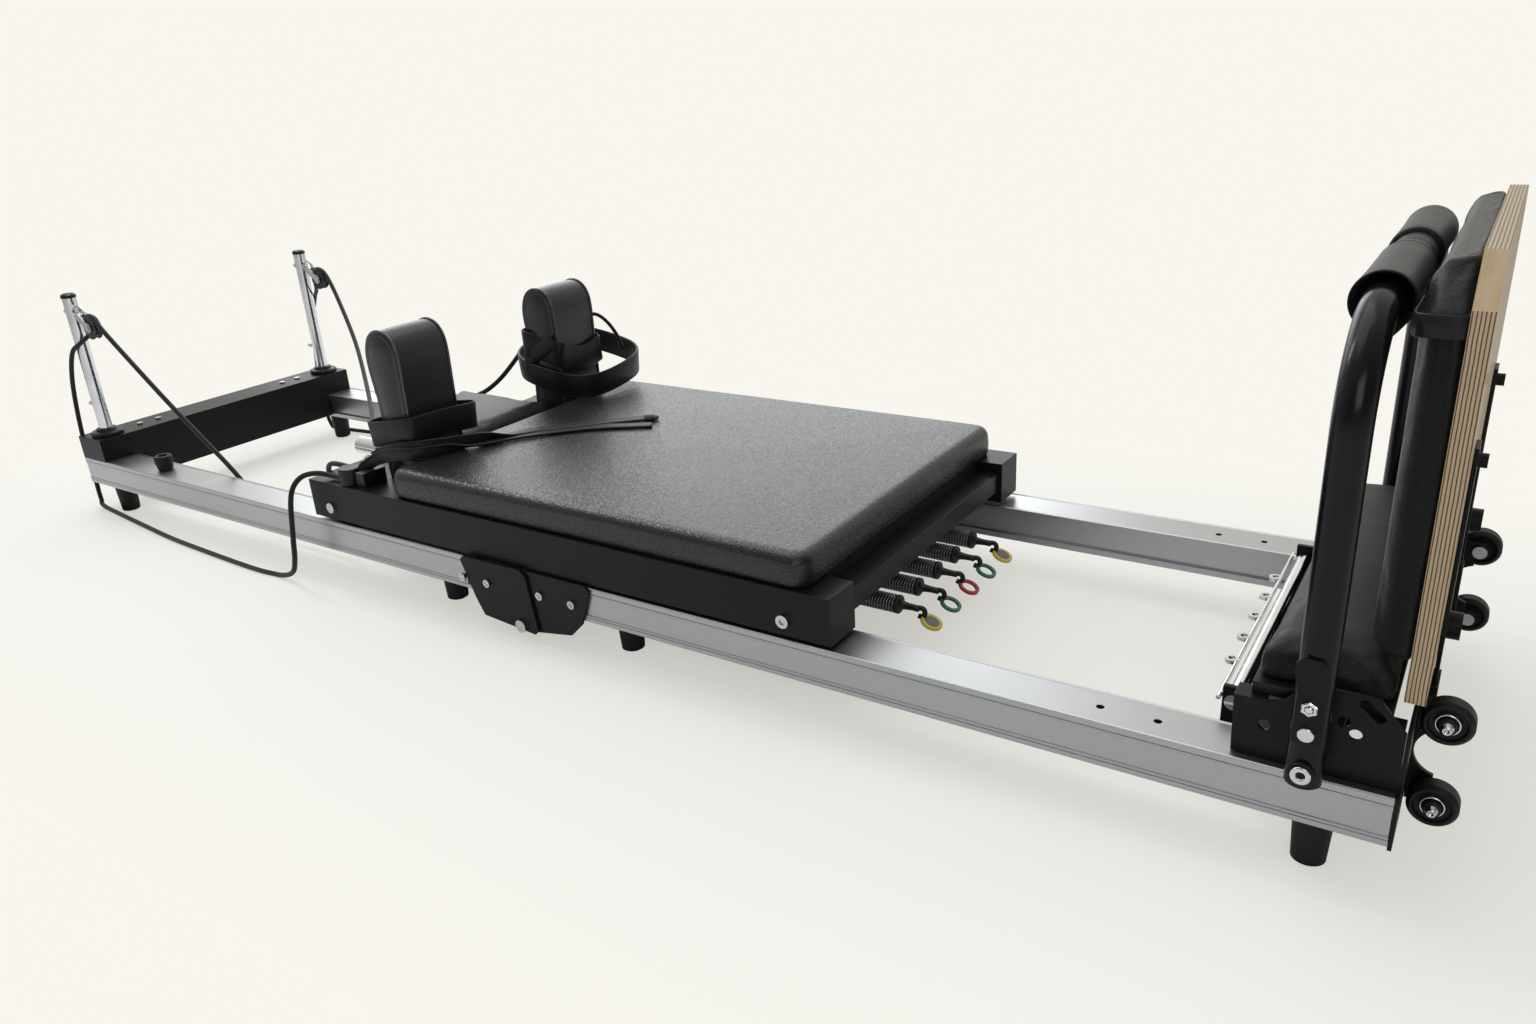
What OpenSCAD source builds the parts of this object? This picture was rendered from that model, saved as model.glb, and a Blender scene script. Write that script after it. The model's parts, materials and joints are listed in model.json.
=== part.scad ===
// Folding pilates reformer.
// Two pairs of aluminium rails fold about pivots below their middle. A padded
// carriage with shoulder rests and a headrest rolls on them. At the head end
// stand two chrome posts with rope pulleys. At the foot end are a padded
// footbar, a standing platform, a spring bar, a jumpboard and the wheels on
// which the folded machine is moved.
// X runs from the head end to the foot end, Y across, Z up. The pieces are
// drawn with X = 0 at the head end of the rails and Z = 0 at the rails'
// underside, and place() moves them to the part's own origin on the floor.

/* [Frame] */
// Length of both rail sections together
frame_len = 2400; // [2360:10:2500]
// Width over the outer faces of the rails
frame_w = 594; // [584:2:604]
// Width of one rail
rail_w = 65; // [60:1:68]
// Height of one rail
rail_h = 54; // [52:1:56]
// Wall of the rail extrusion
rail_wall = 3; // [2:0.5:4]
// Distance of the fold line from the head end
fold_x = 1254; // [1244:1:1264]
// Depth of the fold pivot below the rails
pivot_drop = 33; // [32:1:36]
// Radius of the fold pivot pin
pivot_r = 6; // [5:0.5:7]
// Thickness of the fold plates
fold_plate_t = 4; // [3:0.5:5]
// Height of the feet under the rails
foot_h = 62; // [58:1:63]
// Radius of a foot at its top
foot_r = 20; // [17:1:21]
// Width along X of the crossbar at the head end
crossbar_w = 83; // [76:1:90]
// Height of the crossbar above the rails
crossbar_h = 45; // [40:1:50]
// Wall of the black sheet metal pieces
sheet = 4; // [3:0.5:5]

/* [Rope posts] */
// Height of the post tops above the rails' underside
post_top = 379; // [360:1:400]
// Radius of a post
post_r = 12.5; // [11:0.5:14]
// Distance of a post from the crossbar's end
post_inset = 37; // [30:1:45]
// Radius of a pulley sheave
sheave_r = 23; // [20:1:25]
// Width of a pulley sheave
sheave_w = 13; // [12:1:16]
// Radius of the ropes
rope_r = 4.5; // [3.5:0.5:5]

/* [Carriage] */
// Head end of the carriage beams
beam_x0 = 772; // [766:1:776]
// Length of the carriage beams
beam_len = 1016; // [1010:1:1030]
// Width of a carriage beam
beam_w = 60; // [56:1:61]
// Height of a carriage beam
beam_h = 64; // [60:1:68]
// Gap between the rails and the beams
beam_gap = 5; // [4:0.5:7]
// Radius of the carriage's running wheels
run_wheel_r = 27; // [24:0.5:28]
// Width of a running wheel
run_wheel_w = 20; // [16:1:22]
// Distance of the running wheels from the beam ends
run_wheel_inset = 50; // [46:1:60]
// Radius of a guide roller
guide_r = 15; // [12:1:17]
// Height of a guide roller
guide_h = 20; // [16:1:22]
// Length of the carriage pad
pad_len = 776; // [760:1:786]
// Distance of the carriage pad's sides from the beams' outer faces
pad_side = 4; // [2:1:14]
// Thickness of the carriage pad
pad_t = 49; // [40:1:56]
// Height of the shoulder rests over the beams
rest_h = 248; // [230:1:260]
// Thickness of a shoulder rest along X
rest_t = 74; // [64:1:76]
// Width of a shoulder rest
rest_w = 100; // [90:1:106]
// Distance of the rests' outer flanks from the carriage's sides
rest_inset = 70; // [62:1:74]
// Width of the headrest
headrest_w = 236; // [210:2:240]
// Length of the headrest
headrest_len = 236; // [220:1:240]
// Distance between neighbouring springs
spring_step = 60; // [54:1:66]
// Outer radius of a spring
spring_r = 13; // [11:0.5:15]
// Wire radius of a spring
wire_r = 2.3; // [1.8:0.1:2.4]
// Length along X of one spring curl
curl_pitch = 9.6; // [8:0.1:11]

/* [Foot end] */
// Outer radius of the footbar tube
bar_r = 17; // [15:0.5:19]
// Wall of the footbar tube
bar_wall = 2.5; // [2:0.5:3]
// Height of the footbar's axis above the rails' underside
bar_z = 500; // [480:1:515]
// Radius of the footbar's bends at the tube's axis
bar_bend = 95; // [80:1:105]
// Radius of the footbar's padded sleeves
sleeve_r = 27; // [24:0.5:28]
// Height of the footbar's pivot
bar_pivot_z = 76; // [72:1:80]
// Distance of the footbar's arms from the frame's side
bar_arm_gap = 13; // [13:1:20]
// Distance of the latch pin from the footbar's pivot
latch_reach = 46; // [42:1:50]
// Travel of the latch pins
latch_travel = 8; // [6:1:10]
// Thickness of the platform pad
platform_t = 40; // [34:1:42]
// Thickness of the jumpboard's plywood
jump_t = 18; // [15:1:19]
// Height of the jumpboard's top edge
jump_top = 550; // [530:1:570]
// Width of the jumpboard
jump_w = 530; // [500:2:540]
// Thickness of the jumpboard's pad
jump_pad_t = 38; // [32:1:38]
// Chamfer of the jumpboard's upper corners
jump_chamfer = 43; // [30:1:60]
// Radius of the transport wheels
wheel_r = 23; // [20:0.5:25]
// Width of a transport wheel
wheel_w = 22; // [18:1:24]
// Distance of the transport wheels' middle from the frame's side
wheel_inset = 70; // [63:1:75]
// Spacing of the two wheels on one bracket
wheel_step = 93; // [86:1:100]

/* [Hidden] */
$fn = 48;

// Clearances: a seat, a running fit on a pin, and soft pieces to their neighbours
seat = 0.3;
fit = 0.05;

// Places of the rails
rail_out = frame_w / 2;
rail_in = rail_out - rail_w;
rail_mid = rail_out - rail_w / 2;
lip_r = 2.5;
lip_h = 1.2;
run_z = rail_h - lip_h;
half_gap = 0.3;
fold_z = -pivot_drop;
stop_x = 250;
stop_holes = [2111, 2173];
stop_hole_r = 4.5;

// Fold plates: the foot section's lie next to the rail, the head section's outside them
plate_gap = 0.3;
foot_plate_y = rail_out + 0.2;
head_plate_y = foot_plate_y + fold_plate_t + plate_gap;
bolt_r = 4;
fold_bolt_z = 24;
fold_bolts_head = [fold_x - 115, fold_x - 62];
fold_bolts_foot = [fold_x + 43, fold_x + 106];

// Feet and the flat ties under the rails
corner_foot_head = 65;
corner_foot_tail = frame_len - 68;
tie_t = 6;
tie_w = 50;
head_tie_x = fold_x - 219;
foot_tie_x = fold_x + 158;
mid_foot_y = rail_in + 8;

// Posts and pulleys
post_x = 46;
post_y = rail_out - post_inset;
clip_z = post_top - 218;
crossbar_screws = [for (d = [70, 110], s = [-1, 1]) s * (post_y - d)];
eye_z = post_top - 27;
eye_ring_r = 8;
eye_x = post_x + post_r + 16;
sheave_x = post_x + 62;
sheave_z = post_top - 54;
groove_r = sheave_r - 6;
axle_r = 4;
crossbar_top = rail_h + crossbar_h;

// Carriage
beam_z0 = rail_h + beam_gap;
beam_z1 = beam_z0 + beam_h;
beam_out = rail_out - 2;
beam_in = beam_out - beam_w;
beam_mid = beam_out - beam_w / 2;
beam_x1 = beam_x0 + beam_len;
beam_wall = 3;
run_axle_z = run_z + seat + run_wheel_r;
run_bolt_r = 6;
run_x = [beam_x0 + run_wheel_inset, beam_x1 - run_wheel_inset - 18];
guide_x = [run_x[0] + 26, run_x[1] - 26];
guide_y = rail_in - guide_r - seat;
guide_z0 = rail_h - guide_h - 1;
guide_bolt_r = 4;
guide_tab_t = 6;
cross_h = 30;
cross_z1 = beam_z1 - 15;
cross_x = [beam_x0 + 70, fold_x - 14, 1636, beam_x1 - 46];
cross_w = 40;
pad_w = 2 * (beam_out - pad_side);
pad_x1 = 1751;
pad_x0 = pad_x1 - pad_len;
pad_z0 = beam_z1 + seat;
pad_top = pad_z0 + pad_t;
rest_x1 = pad_x0 - 3;
rest_x0 = rest_x1 - rest_t;
rest_x = (rest_x0 + rest_x1) / 2;
rest_y = beam_out - rest_inset - rest_w / 2;
peg_r = 5;
rest_pegs = [for (y = [-rest_y, rest_y], s = [-1, 1]) [rest_x, y + s * 28]];
cleat_x = rest_x0 - 36;
headrest_axis_x = pad_x0 - 19;
headrest_axis_z = beam_z1 + 5;
headrest_x1 = headrest_axis_x - 6;
headrest_x0 = headrest_x1 - headrest_len;
headrest_board_t = 10;
headrest_t = 36;
rest_plate_x0 = headrest_x0 + 61;

// Springs
spring_curls = 10;
spring_z = 40;
spring_x0 = 1690;
spring_x1 = spring_x0 + curl_pitch * spring_curls;
spring_n = 5;
anchor_x = cross_x[2] + cross_w - sheet;

// Foot end
bar_x = frame_len - 78;
bar_arm_y = rail_out + bar_arm_gap;
sleeve_end = bar_arm_y - bar_bend - 1;
bracket_out = rail_out - 14;
bracket_in = bracket_out - sheet;
bracket_x0 = frame_len - 152;
bracket_bolts = [bracket_x0 + 30, frame_len - 22];
bracket_h = 64;
bracket_peak = bracket_h + 29;
shelf_z = rail_h + bracket_h;
shelf_w = 26;
bar_bolt_r = 6;
latch_pin_r = 5;
pin_angles = [-71, 0, 33, 53];
eye_bar_x = frame_len - 180;
eye_bar_z = 66;
eye_bar_end = rail_in - 26;
eye_tube_r = 9;
eye_tube_x = eye_bar_x + 16;
eye_r = 4;
platform_x0 = frame_len - 138;
platform_x1 = frame_len - 14;
platform_board_t = 12;
platform_w = 2 * bracket_in - 34;
platform_z0 = shelf_z + seat + platform_board_t + seat;
panel_x = frame_len + 0.2;
jump_x1 = frame_len + 10;
jump_x0 = jump_x1 - jump_t;
jump_z0 = 140;
jump_pad_z0 = platform_z0 + platform_t + 4;
upright_y = 150;
upright_t = 4;
upright_w = 30;
upright_z0 = 62;
upright_z1 = 360;
wheel_x = panel_x + sheet + wheel_r + 2.8;
wheel_y = rail_out - wheel_inset;
wheel_z = [17, 17 + wheel_step];
wheel_bolt_r = 5;
bracket_y = wheel_y - wheel_w / 2 - 2 - 5;
x_mid = (wheel_x + wheel_r) / 2;

// The far hand loop, which leans round the far rest
far_loop_mid = [rest_x - 27, rest_y + 40, pad_top + 41];
far_loop_a = 104;
far_loop_b = 96;

// Clearance of the bands round the rests, to their middle
band_gap = 2.6;

// The strap tied round the jumpboard
tie_strap_y = jump_w / 2;
tie_strap_z = jump_top - jump_chamfer - 14;

// Ropes: hand-picked points, one ring at each. Each rope runs from the
// carriage's cleat to the floor, along it, up to its sheave and back.
rope_floor = -foot_h + rope_r;
near_rope = [[838, -276, 129], [812, -278, 130], [788, -290, 134], [768, -308, 128], [757, -324, 100],
    [752, -334, 30], [744, -336, -15], [724, -334, -44], [680, -334, rope_floor], [600, -338, rope_floor],
    [360, -328, rope_floor], [230, -316, rope_floor], [20, -292, rope_floor], [-8, -286, -44],
    [-12, -284, 0], [-12, -284, 90], [8, -283, 200], [40, -281, 270], [66, -272, 292], [86, -260, 309],
    [86, -260, 325], [87.6, -260, 333.5], [92.4, -260, 340.6], [99.5, -260, 345.4], [108, -260, 347.1],
    [116.5, -260, 345.4], [123.6, -260, 340.6], [137, -260, 327], [180, -255, 284], [290, -242, 180],
    [400, -226, 78], [500, -221, 2], [660, -220, -26], [720, -221, 8], [740, -224, 66], [750, -240, 112],
    [774, -247, 135], [830, -247, 136], [884.6, -247, 136]];
far_rope = [[838, 276, 129], [812, 278, 130], [788, 290, 134], [768, 308, 128], [757, 324, 100],
    [752, 334, 30], [744, 336, -15], [724, 334, -44], [680, 334, rope_floor], [600, 338, rope_floor],
    [360, 328, rope_floor], [230, 316, rope_floor], [20, 292, rope_floor], [-8, 286, -44], [-12, 284, 0],
    [-12, 284, 90], [8, 283, 200], [40, 281, 270], [66, 272, 292], [86, 260, 309], [86, 260, 325],
    [87.6, 260, 333.5], [92.4, 260, 340.6], [99.5, 260, 345.4], [108, 260, 347.1], [116.5, 260, 345.4],
    [123.6, 260, 340.6], [137, 260, 327], [180, 246, 282], [290, 190, 206], [420, 104, 146],
    [550, 10, 120], [640, -60, 124], [684, -84, 136], [700, -50, 138], [703, 30, 138], [704, 90, 140],
    [716, 128, 144], [744, 146, 158], [770, 168, 184], [798, 199, 228]];

// Small helpers
module place() translate([-x_mid, 0, foot_h]) children();
module both_sides() {
    children();
    mirror([0, 1, 0]) children();
}
module box(lo, hi) translate(lo) cube(hi - lo);
module rod_y(r, y0, y1) translate([0, y0, 0]) rotate([-90, 0, 0]) cylinder(r = r, h = y1 - y0);
module rod_x(r, x0, x1) translate([x0, 0, 0]) rotate([0, 90, 0]) cylinder(r = r, h = x1 - x0);
// A flat outline drawn in X and Z, spread from y0 to y1
module plate_xz(y0, y1) translate([0, y1, 0]) rotate([90, 0, 0]) linear_extrude(y1 - y0) children();
// A bolt head with a hexagon socket, standing on the outside of a plate at y, on the near side
module bolt_head_near(x, z, y, r = 6, h = 4) translate([x, y, z]) rotate([90, 0, 0]) difference() {
    cylinder(r = r, h = h);
    translate([0, 0, h - 2]) cylinder(r = r * 0.5, h = 3, $fn = 6);
}

// Sweeps
function unit(v) = v / norm(v);
function tangent(p, i) = unit(p[min(i + 1, len(p) - 1)] - p[max(i - 1, 0)]);
function square_to(u, t) = unit(u - (u * t) * t);
function carried(p, u0) = [for (i = 0, u = square_to(u0, tangent(p, 0)); i < len(p);
    i = i + 1, u = square_to(u, tangent(p, min(i, len(p) - 1)))) u];
function tube_faces(rings, sides) = concat(
    [for (i = [1 : sides - 2]) [0, i, i + 1]],
    [for (i = [0 : rings - 2], s = [0 : sides - 1])
        let (a = i * sides + s, b = i * sides + (s + 1) % sides) [a, b + sides, b]],
    [for (i = [0 : rings - 2], s = [0 : sides - 1])
        let (a = i * sides + s, b = i * sides + (s + 1) % sides) [a, a + sides, b + sides]],
    [for (i = [1 : sides - 2]) let (k = (rings - 1) * sides) [k, k + i + 1, k + i]]);
// Rings, all with the same number of points, skinned into one closed solid
module skin(rings) {
    sides = len(rings[0]);
    polyhedron([for (ring = rings) each ring], tube_faces(len(rings), sides), convexity = 6);
}
module tube_along(p, r, sides, u0) {
    u = carried(p, u0);
    skin([for (i = [0 : len(p) - 1]) let (t = tangent(p, i), v = cross(t, u[i]))
        [for (s = [0 : sides - 1]) p[i] + r * (cos(360 * s / sides) * u[i] + sin(360 * s / sides) * v)]]);
}
// A flat band of width w and thickness t along p; up[i] points across its width
function band_ring(q, d, up, w, t) = let (u = square_to(up, d), a = u * w / 2, b = cross(d, u) * t / 2)
    [q - a - b, q + a - b, q + a + b, q - a + b];
module ribbon(p, up, w, t) skin([for (i = [0 : len(p) - 1]) band_ring(p[i], tangent(p, i), up[i], w, t)]);
// A closed band that stands upright along the loop p
module loop_band(p, w, t) {
    n = len(p);
    ahead = [for (i = [0 : n - 1]) unit(p[(i + 1) % n] - p[(i + n - 1) % n])];
    corners = [for (i = [0 : n - 1]) each band_ring(p[i], ahead[i], [0, 0, 1], w, t)];
    polyhedron(corners, [for (i = [0 : n - 1], s = [0 : 3])
        let (k = ((i + 1) % n) * 4, a = i * 4 + s, b = i * 4 + (s + 1) % 4, c = k + s, d = k + (s + 1) % 4)
        each [[a, d, b], [a, c, d]]], convexity = 6);
}

// Cushions: a squared ring that pulls in between its corners, under a crown
function squared(a, n) = [sign(cos(a)) * pow(abs(cos(a)), 2 / n), sign(sin(a)) * pow(abs(sin(a)), 2 / n)];
function cushion_ring(w, d, z, inset, pull, sides) = [for (s = [0 : sides - 1])
    let (a = 360 * (s + 0.5) / sides, q = squared(a, 22), side = 1 - pow(min(abs(q[0]), abs(q[1])), 2))
    [q[0] * (w / 2 - inset - pull * side), q[1] * (d / 2 - inset - pull * side), z]];
module cushion(w, d, h, round_r, crown, pull, sides = 40) {
    edge = h - crown;
    skin(concat(
        [cushion_ring(w, d, 0, round_r * 0.6, pull, sides),
         cushion_ring(w, d, edge * 0.2, 0, pull, sides),
         cushion_ring(w, d, edge * 0.6, 0, pull, sides),
         cushion_ring(w, d, edge - round_r * 0.3, round_r * 0.3, pull * 0.6, sides),
         cushion_ring(w, d, edge, round_r, 0, sides)],
        [for (k = [0.75, 0.45, 0.12]) let (m = min(w, d) / 2)
            cushion_ring(w, d, edge + crown * (1 - k * k), round_r + (m - round_r) * (1 - k), 0, sides)]));
}

// Rails
module rail_outline() difference() {
    union() {
        square([rail_w, rail_h - lip_h]);
        for (y = [lip_r, rail_w - lip_r]) translate([y, rail_h - lip_r]) circle(lip_r, $fn = 24);
        for (y = [0, rail_w - 2 * lip_r]) translate([y, rail_h - 3 * lip_r]) square([2 * lip_r, 2 * lip_r]);
    }
    translate([rail_wall + 1.5, rail_wall])
        square([rail_w - 2 * rail_wall - 6.5, rail_h - lip_h - 2 * rail_wall]);
    translate([-1, 10]) square([2.2, rail_h - 22]);
    translate([-1, rail_h - 9]) square([1.8, 1]);
    translate([-1, 6]) square([1.8, 1]);
    translate([rail_w - 5, 9]) square([6, rail_h - 19]);
}
// The rail on the near side, from x0 to x1: its outline's first side faces out
module rail(x0, x1) translate([x0, -rail_out, 0]) rotate([90, 0, 90]) linear_extrude(x1 - x0) rail_outline();

module foot_rails() color("silver") place() both_sides() difference() {
    rail(fold_x + half_gap, frame_len);
    for (x = stop_holes) translate([x, -rail_mid, rail_h / 2]) cylinder(r = stop_hole_r, h = rail_h);
    for (x = fold_bolts_foot) translate([x, 0, fold_bolt_z])
        rod_y(bolt_r + fit, -rail_out - 1, -rail_out + rail_wall + 4);
}
module head_rails() color("silver") place() both_sides() difference() {
    rail(0, fold_x - half_gap);
    translate([stop_x, -rail_mid, rail_h / 2]) cylinder(r = stop_hole_r, h = rail_h);
    for (x = fold_bolts_head) translate([x, 0, fold_bolt_z])
        rod_y(bolt_r + fit, -rail_out - 1, -rail_out + rail_wall + 4);
}

// Fold joint
module fold_holes(xs) {
    for (x = xs) translate([x, fold_bolt_z]) circle(bolt_r + fit);
    translate([fold_x, fold_z]) circle(pivot_r + fit);
}
module head_hinge_plates() color([0.08, 0.08, 0.09]) place() both_sides() union() {
    plate_xz(-head_plate_y - fold_plate_t, -head_plate_y) difference() {
        translate([fold_x, 0]) polygon([[-117, 52], [-110, 59], [10, 59], [20, 50], [32, fold_z - 2],
            [25, fold_z - 10], [-80, fold_z - 1], [-94, -8]]);
        fold_holes(fold_bolts_head);
    }
    plate_xz(-head_plate_y, -rail_out - 0.2) difference() {
        translate([fold_x - 112, 10]) square([62, 34]);
        fold_holes(fold_bolts_head);
    }
}
module foot_hinge_plates() color([0.08, 0.08, 0.09]) place() both_sides()
    plate_xz(-foot_plate_y - fold_plate_t, -foot_plate_y) difference() {
        translate([fold_x, 0]) polygon([[2, 50], [10, 58], [134, 58], [141, 50], [120, -6], [96, fold_z + 4],
            [6, fold_z - 11], [-12, fold_z - 8], [-14, fold_z + 8]]);
        fold_holes(fold_bolts_foot);
    }

// Feet: a steel flange over a tapered rubber body
module foot(x, y, h) translate([x, -y, -foot_h]) rotate_extrude()
    polygon([[0, 0], [foot_r - 6, 0], [foot_r - 3, 2], [foot_r, h - 5], [foot_r + 2, h - 4],
        [foot_r + 2, h - seat], [0, h - seat]]);
module foot_end_feet() color([0.06, 0.06, 0.06]) place() both_sides() {
    foot(corner_foot_tail, rail_mid, foot_h);
    foot(foot_tie_x, mid_foot_y, foot_h - tie_t);
}
module head_end_feet() color([0.06, 0.06, 0.06]) place() both_sides() {
    foot(corner_foot_head, rail_mid, foot_h);
    foot(head_tie_x, mid_foot_y, foot_h - tie_t);
}

// Cross members of both sections
module tie(x) box([x - tie_w / 2, -rail_out + 12, -tie_t], [x + tie_w / 2, rail_out - 12, -0.1]);
module head_cross_members() color([0.09, 0.09, 0.1]) place() {
    tie(head_tie_x);
    difference() {
        union() {
            box([0, -rail_out, rail_h + 0.1], [crossbar_w, rail_out, crossbar_top]);
            box([0, -rail_in + 0.5, 2], [crossbar_w, rail_in - 0.5, rail_h + 1]);
        }
        box([sheet, -rail_out + sheet, rail_h + sheet],
            [crossbar_w - sheet, rail_out - sheet, crossbar_top - sheet]);
        box([sheet, -rail_in + sheet, -1], [crossbar_w - sheet, rail_in - sheet, rail_h + 2 * sheet]);
        translate([0, 0, crossbar_top - 10]) {
            for (y = [-post_y, post_y]) translate([post_x, y, 0]) cylinder(r = post_r + fit, h = 20);
            for (y = crossbar_screws) translate([crossbar_w / 2, y, 0]) cylinder(r = 3 + fit, h = 20);
        }
    }
}
module foot_cross_members() color([0.09, 0.09, 0.1]) place() {
    tie(foot_tie_x);
    difference() {
        box([bracket_x0 + 12, -rail_in + 0.3, 4], [bracket_x0 + 92, rail_in - 0.3, rail_h - 4]);
        box([bracket_x0 + 12 + sheet, -rail_in - 1, 4 + sheet],
            [bracket_x0 + 93, rail_in + 1, rail_h - 4 - sheet]);
    }
    for (y = [-eye_bar_end, eye_bar_end]) difference() {
        box([eye_bar_x + 4, y - 3, 34], [bracket_x0 + 11.9, y + 3, 82]);
        translate([eye_tube_x, 0, eye_bar_z]) rod_y(eye_tube_r + fit, y - 5, y + 5);
    }
}

// Posts, collars and their hardware
module rope_posts() color("silver") place() for (y = [-post_y, post_y]) translate([post_x, y, 0])
    difference() {
        z0 = crossbar_top - sheet - 12;
        translate([0, 0, z0]) cylinder(r = post_r, h = post_top - z0);
        translate([0, 0, z0 - 1]) cylinder(r = post_r - 2, h = post_top);
        translate([0, 0, eye_z]) rod_x(4 + fit, -20, 20);
        translate([0, 0, clip_z]) rod_x(3 + fit, -20, 0);
    }
module post_collars() color([0.07, 0.07, 0.07]) place() {
    r = post_r + fit;
    for (y = [-post_y, post_y]) translate([post_x, y, 0.1]) {
        translate([0, 0, crossbar_top]) rotate_extrude()
            polygon([[r, 0], [29, 0], [30, 1.5], [30, 6], [28.5, 8], [20, 9], [18, 14], [r, 15]]);
        translate([0, 0, post_top]) rotate_extrude()
            polygon([[0, 0], [r + 1, 0], [r + 1.5, 1.5], [r + 1, 6], [r - 3, 8.5], [0, 9]]);
    }
}
module eye_bolt(y) translate([post_x, y, eye_z]) {
    rod_x(4, -post_r - 8, post_r + 5);
    rod_x(8, -post_r - 6, -post_r - 0.2);
    rod_x(7, post_r + 0.2, post_r + 4);
    translate([eye_x - post_x, 0, 0]) eye_ring(3);
}
module eye_ring(r) rotate([90, 0, 0]) rotate_extrude() translate([eye_ring_r + 3, 0]) circle(r, $fn = 24);
module post_hardware() color("gainsboro") place() {
    for (y = [-post_y, post_y]) eye_bolt(y);
    for (y = [-post_y, post_y]) translate([post_x, y, clip_z]) {
        rod_x(3, -post_r - 16, -post_r + 3);
        rod_x(5.5, -post_r - 20, -post_r - 14);
    }
}
module head_stops() color([0.06, 0.06, 0.06]) place() both_sides() translate([stop_x, -rail_mid, run_z])
    rotate_extrude() polygon([[0, -4.8], [stop_hole_r - 0.2, -4.8], [stop_hole_r - 0.2, 0.2], [13, 0.2],
        [15, 8], [15, 12], [17, 14], [17, 26], [15, 29], [9, 29], [8, 23], [0, 23]]);
module fold_bolts(xs, y) for (x = xs) {
    bolt_head_near(x, fold_bolt_z, y - 0.1, 6.5, 4);
    translate([x, 0, fold_bolt_z]) rod_y(bolt_r, y - 0.1, -rail_out + rail_wall + 2);
}
module head_frame_bolts() color("silver") place() {
    both_sides() fold_bolts(fold_bolts_head, -head_plate_y - fold_plate_t);
    for (y = crossbar_screws) translate([crossbar_w / 2, y, 0]) {
        translate([0, 0, crossbar_top + 0.1]) cylinder(r = 6, h = 3);
        translate([0, 0, crossbar_top - 9]) cylinder(r = 3, h = 10);
    }
}

// Pulleys: two cheeks on a neck that hooks in the eye, round a grooved sheave
module block_cheek() {
    dx = sheave_x - eye_x - 4;
    dz = sheave_z - eye_z + 8;
    translate([sheave_x, sheave_z]) circle(10);
    translate([sheave_x - dx, sheave_z - dz]) circle(7);
    translate([sheave_x - dx, sheave_z - dz]) rotate(atan2(dz, dx)) translate([0, -7])
        square([norm([dx, dz]), 14]);
}
module pulley_blocks() color("gainsboro") place() for (y = [-post_y, post_y]) translate([0, y, 0])
    difference() {
        cheek_y = sheave_w / 2 + 2;
        boss_y = sheave_w / 2 + 5.5;
        union() {
            for (s = [-1, 1]) plate_xz(s * cheek_y - 1.25, s * cheek_y + 1.25) block_cheek();
            translate([eye_x + 4, 0, eye_z - 8]) rod_y(4, -cheek_y - 1, cheek_y + 1);
            translate([sheave_x, 0, sheave_z]) {
                rod_y(axle_r, -boss_y, boss_y);
                rod_y(7, -boss_y, -cheek_y - 1);
                rod_y(7, cheek_y + 1, boss_y);
            }
        }
        translate([eye_x, 0, eye_z]) eye_ring(3.3);
    }
// The rope's bed is a groove of its own radius and a little more
module sheave(y) color([0.07, 0.07, 0.07]) place() translate([sheave_x, y, sheave_z]) rotate([90, 0, 0])
    rotate_extrude() difference() {
        bed_r = rope_r + 0.6;
        translate([axle_r + fit, -sheave_w / 2]) square([sheave_r - axle_r - fit, sheave_w]);
        translate([groove_r + bed_r, 0]) circle(bed_r, $fn = 32);
        translate([groove_r + bed_r, -bed_r]) square([20, 2 * bed_r]);
    }
module sheave_near() sheave(-post_y);
module sheave_far() sheave(post_y);

// Carriage
module carriage_beams() color([0.08, 0.08, 0.09]) place() both_sides() difference() {
    union() {
        box([beam_x0, -beam_out, beam_z0], [beam_x1, -beam_in, beam_z1]);
        for (x = guide_x)
            box([x - 18, -beam_in - 1, beam_z0], [x + 18, -guide_y + 14, beam_z0 + guide_tab_t]);
    }
    box([beam_x0 + beam_wall, -beam_out + beam_wall, beam_z0 + beam_wall],
        [beam_x1 - beam_wall, -beam_in - beam_wall, beam_z1 - beam_wall]);
    for (x = run_x) {
        box([x - run_wheel_r - 3, -beam_mid - run_wheel_w / 2 - 2, beam_z0 - 1],
            [x + run_wheel_r + 3, -beam_mid + run_wheel_w / 2 + 2, beam_z0 + beam_wall + 1]);
        translate([x, 0, run_axle_z]) rod_y(run_bolt_r + fit, -beam_out - 1, -beam_in + 1);
    }
    for (x = guide_x) translate([x, -guide_y, beam_z0 - 1])
        cylinder(r = guide_bolt_r + fit, h = guide_tab_t + 2);
}
module carriage_bolts() color("silver") place() {
    axle_bolts();
    // Pegs of the shoulder rests with their heads under the plate
    for (q = rest_pegs) translate([q[0], q[1], beam_z1 - sheet]) {
        translate([0, 0, -0.2]) cylinder(r = peg_r, h = sheet + 18);
        translate([0, 0, -5.1]) cylinder(r = 9, h = 5);
    }
}
module axle_bolts() both_sides() {
    for (x = run_x) {
        translate([x, 0, run_axle_z]) rod_y(run_bolt_r, -beam_out - 0.1, -beam_in + 0.1);
        bolt_head_near(x, run_axle_z, -beam_out - 0.1, 9, 5);
        translate([x, 0, run_axle_z]) rod_y(9, -beam_in + 0.1, -beam_in + 5);
    }
    for (x = guide_x) translate([x, -guide_y, 0]) {
        translate([0, 0, guide_z0 - 5])
            cylinder(r = guide_bolt_r, h = beam_z0 + guide_tab_t - guide_z0 + 5.1);
        translate([0, 0, guide_z0 - 8]) cylinder(r = 7, h = 7.8, $fn = 6);
        translate([0, 0, beam_z0 + guide_tab_t + 0.1]) cylinder(r = 8, h = 5);
    }
}
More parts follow.
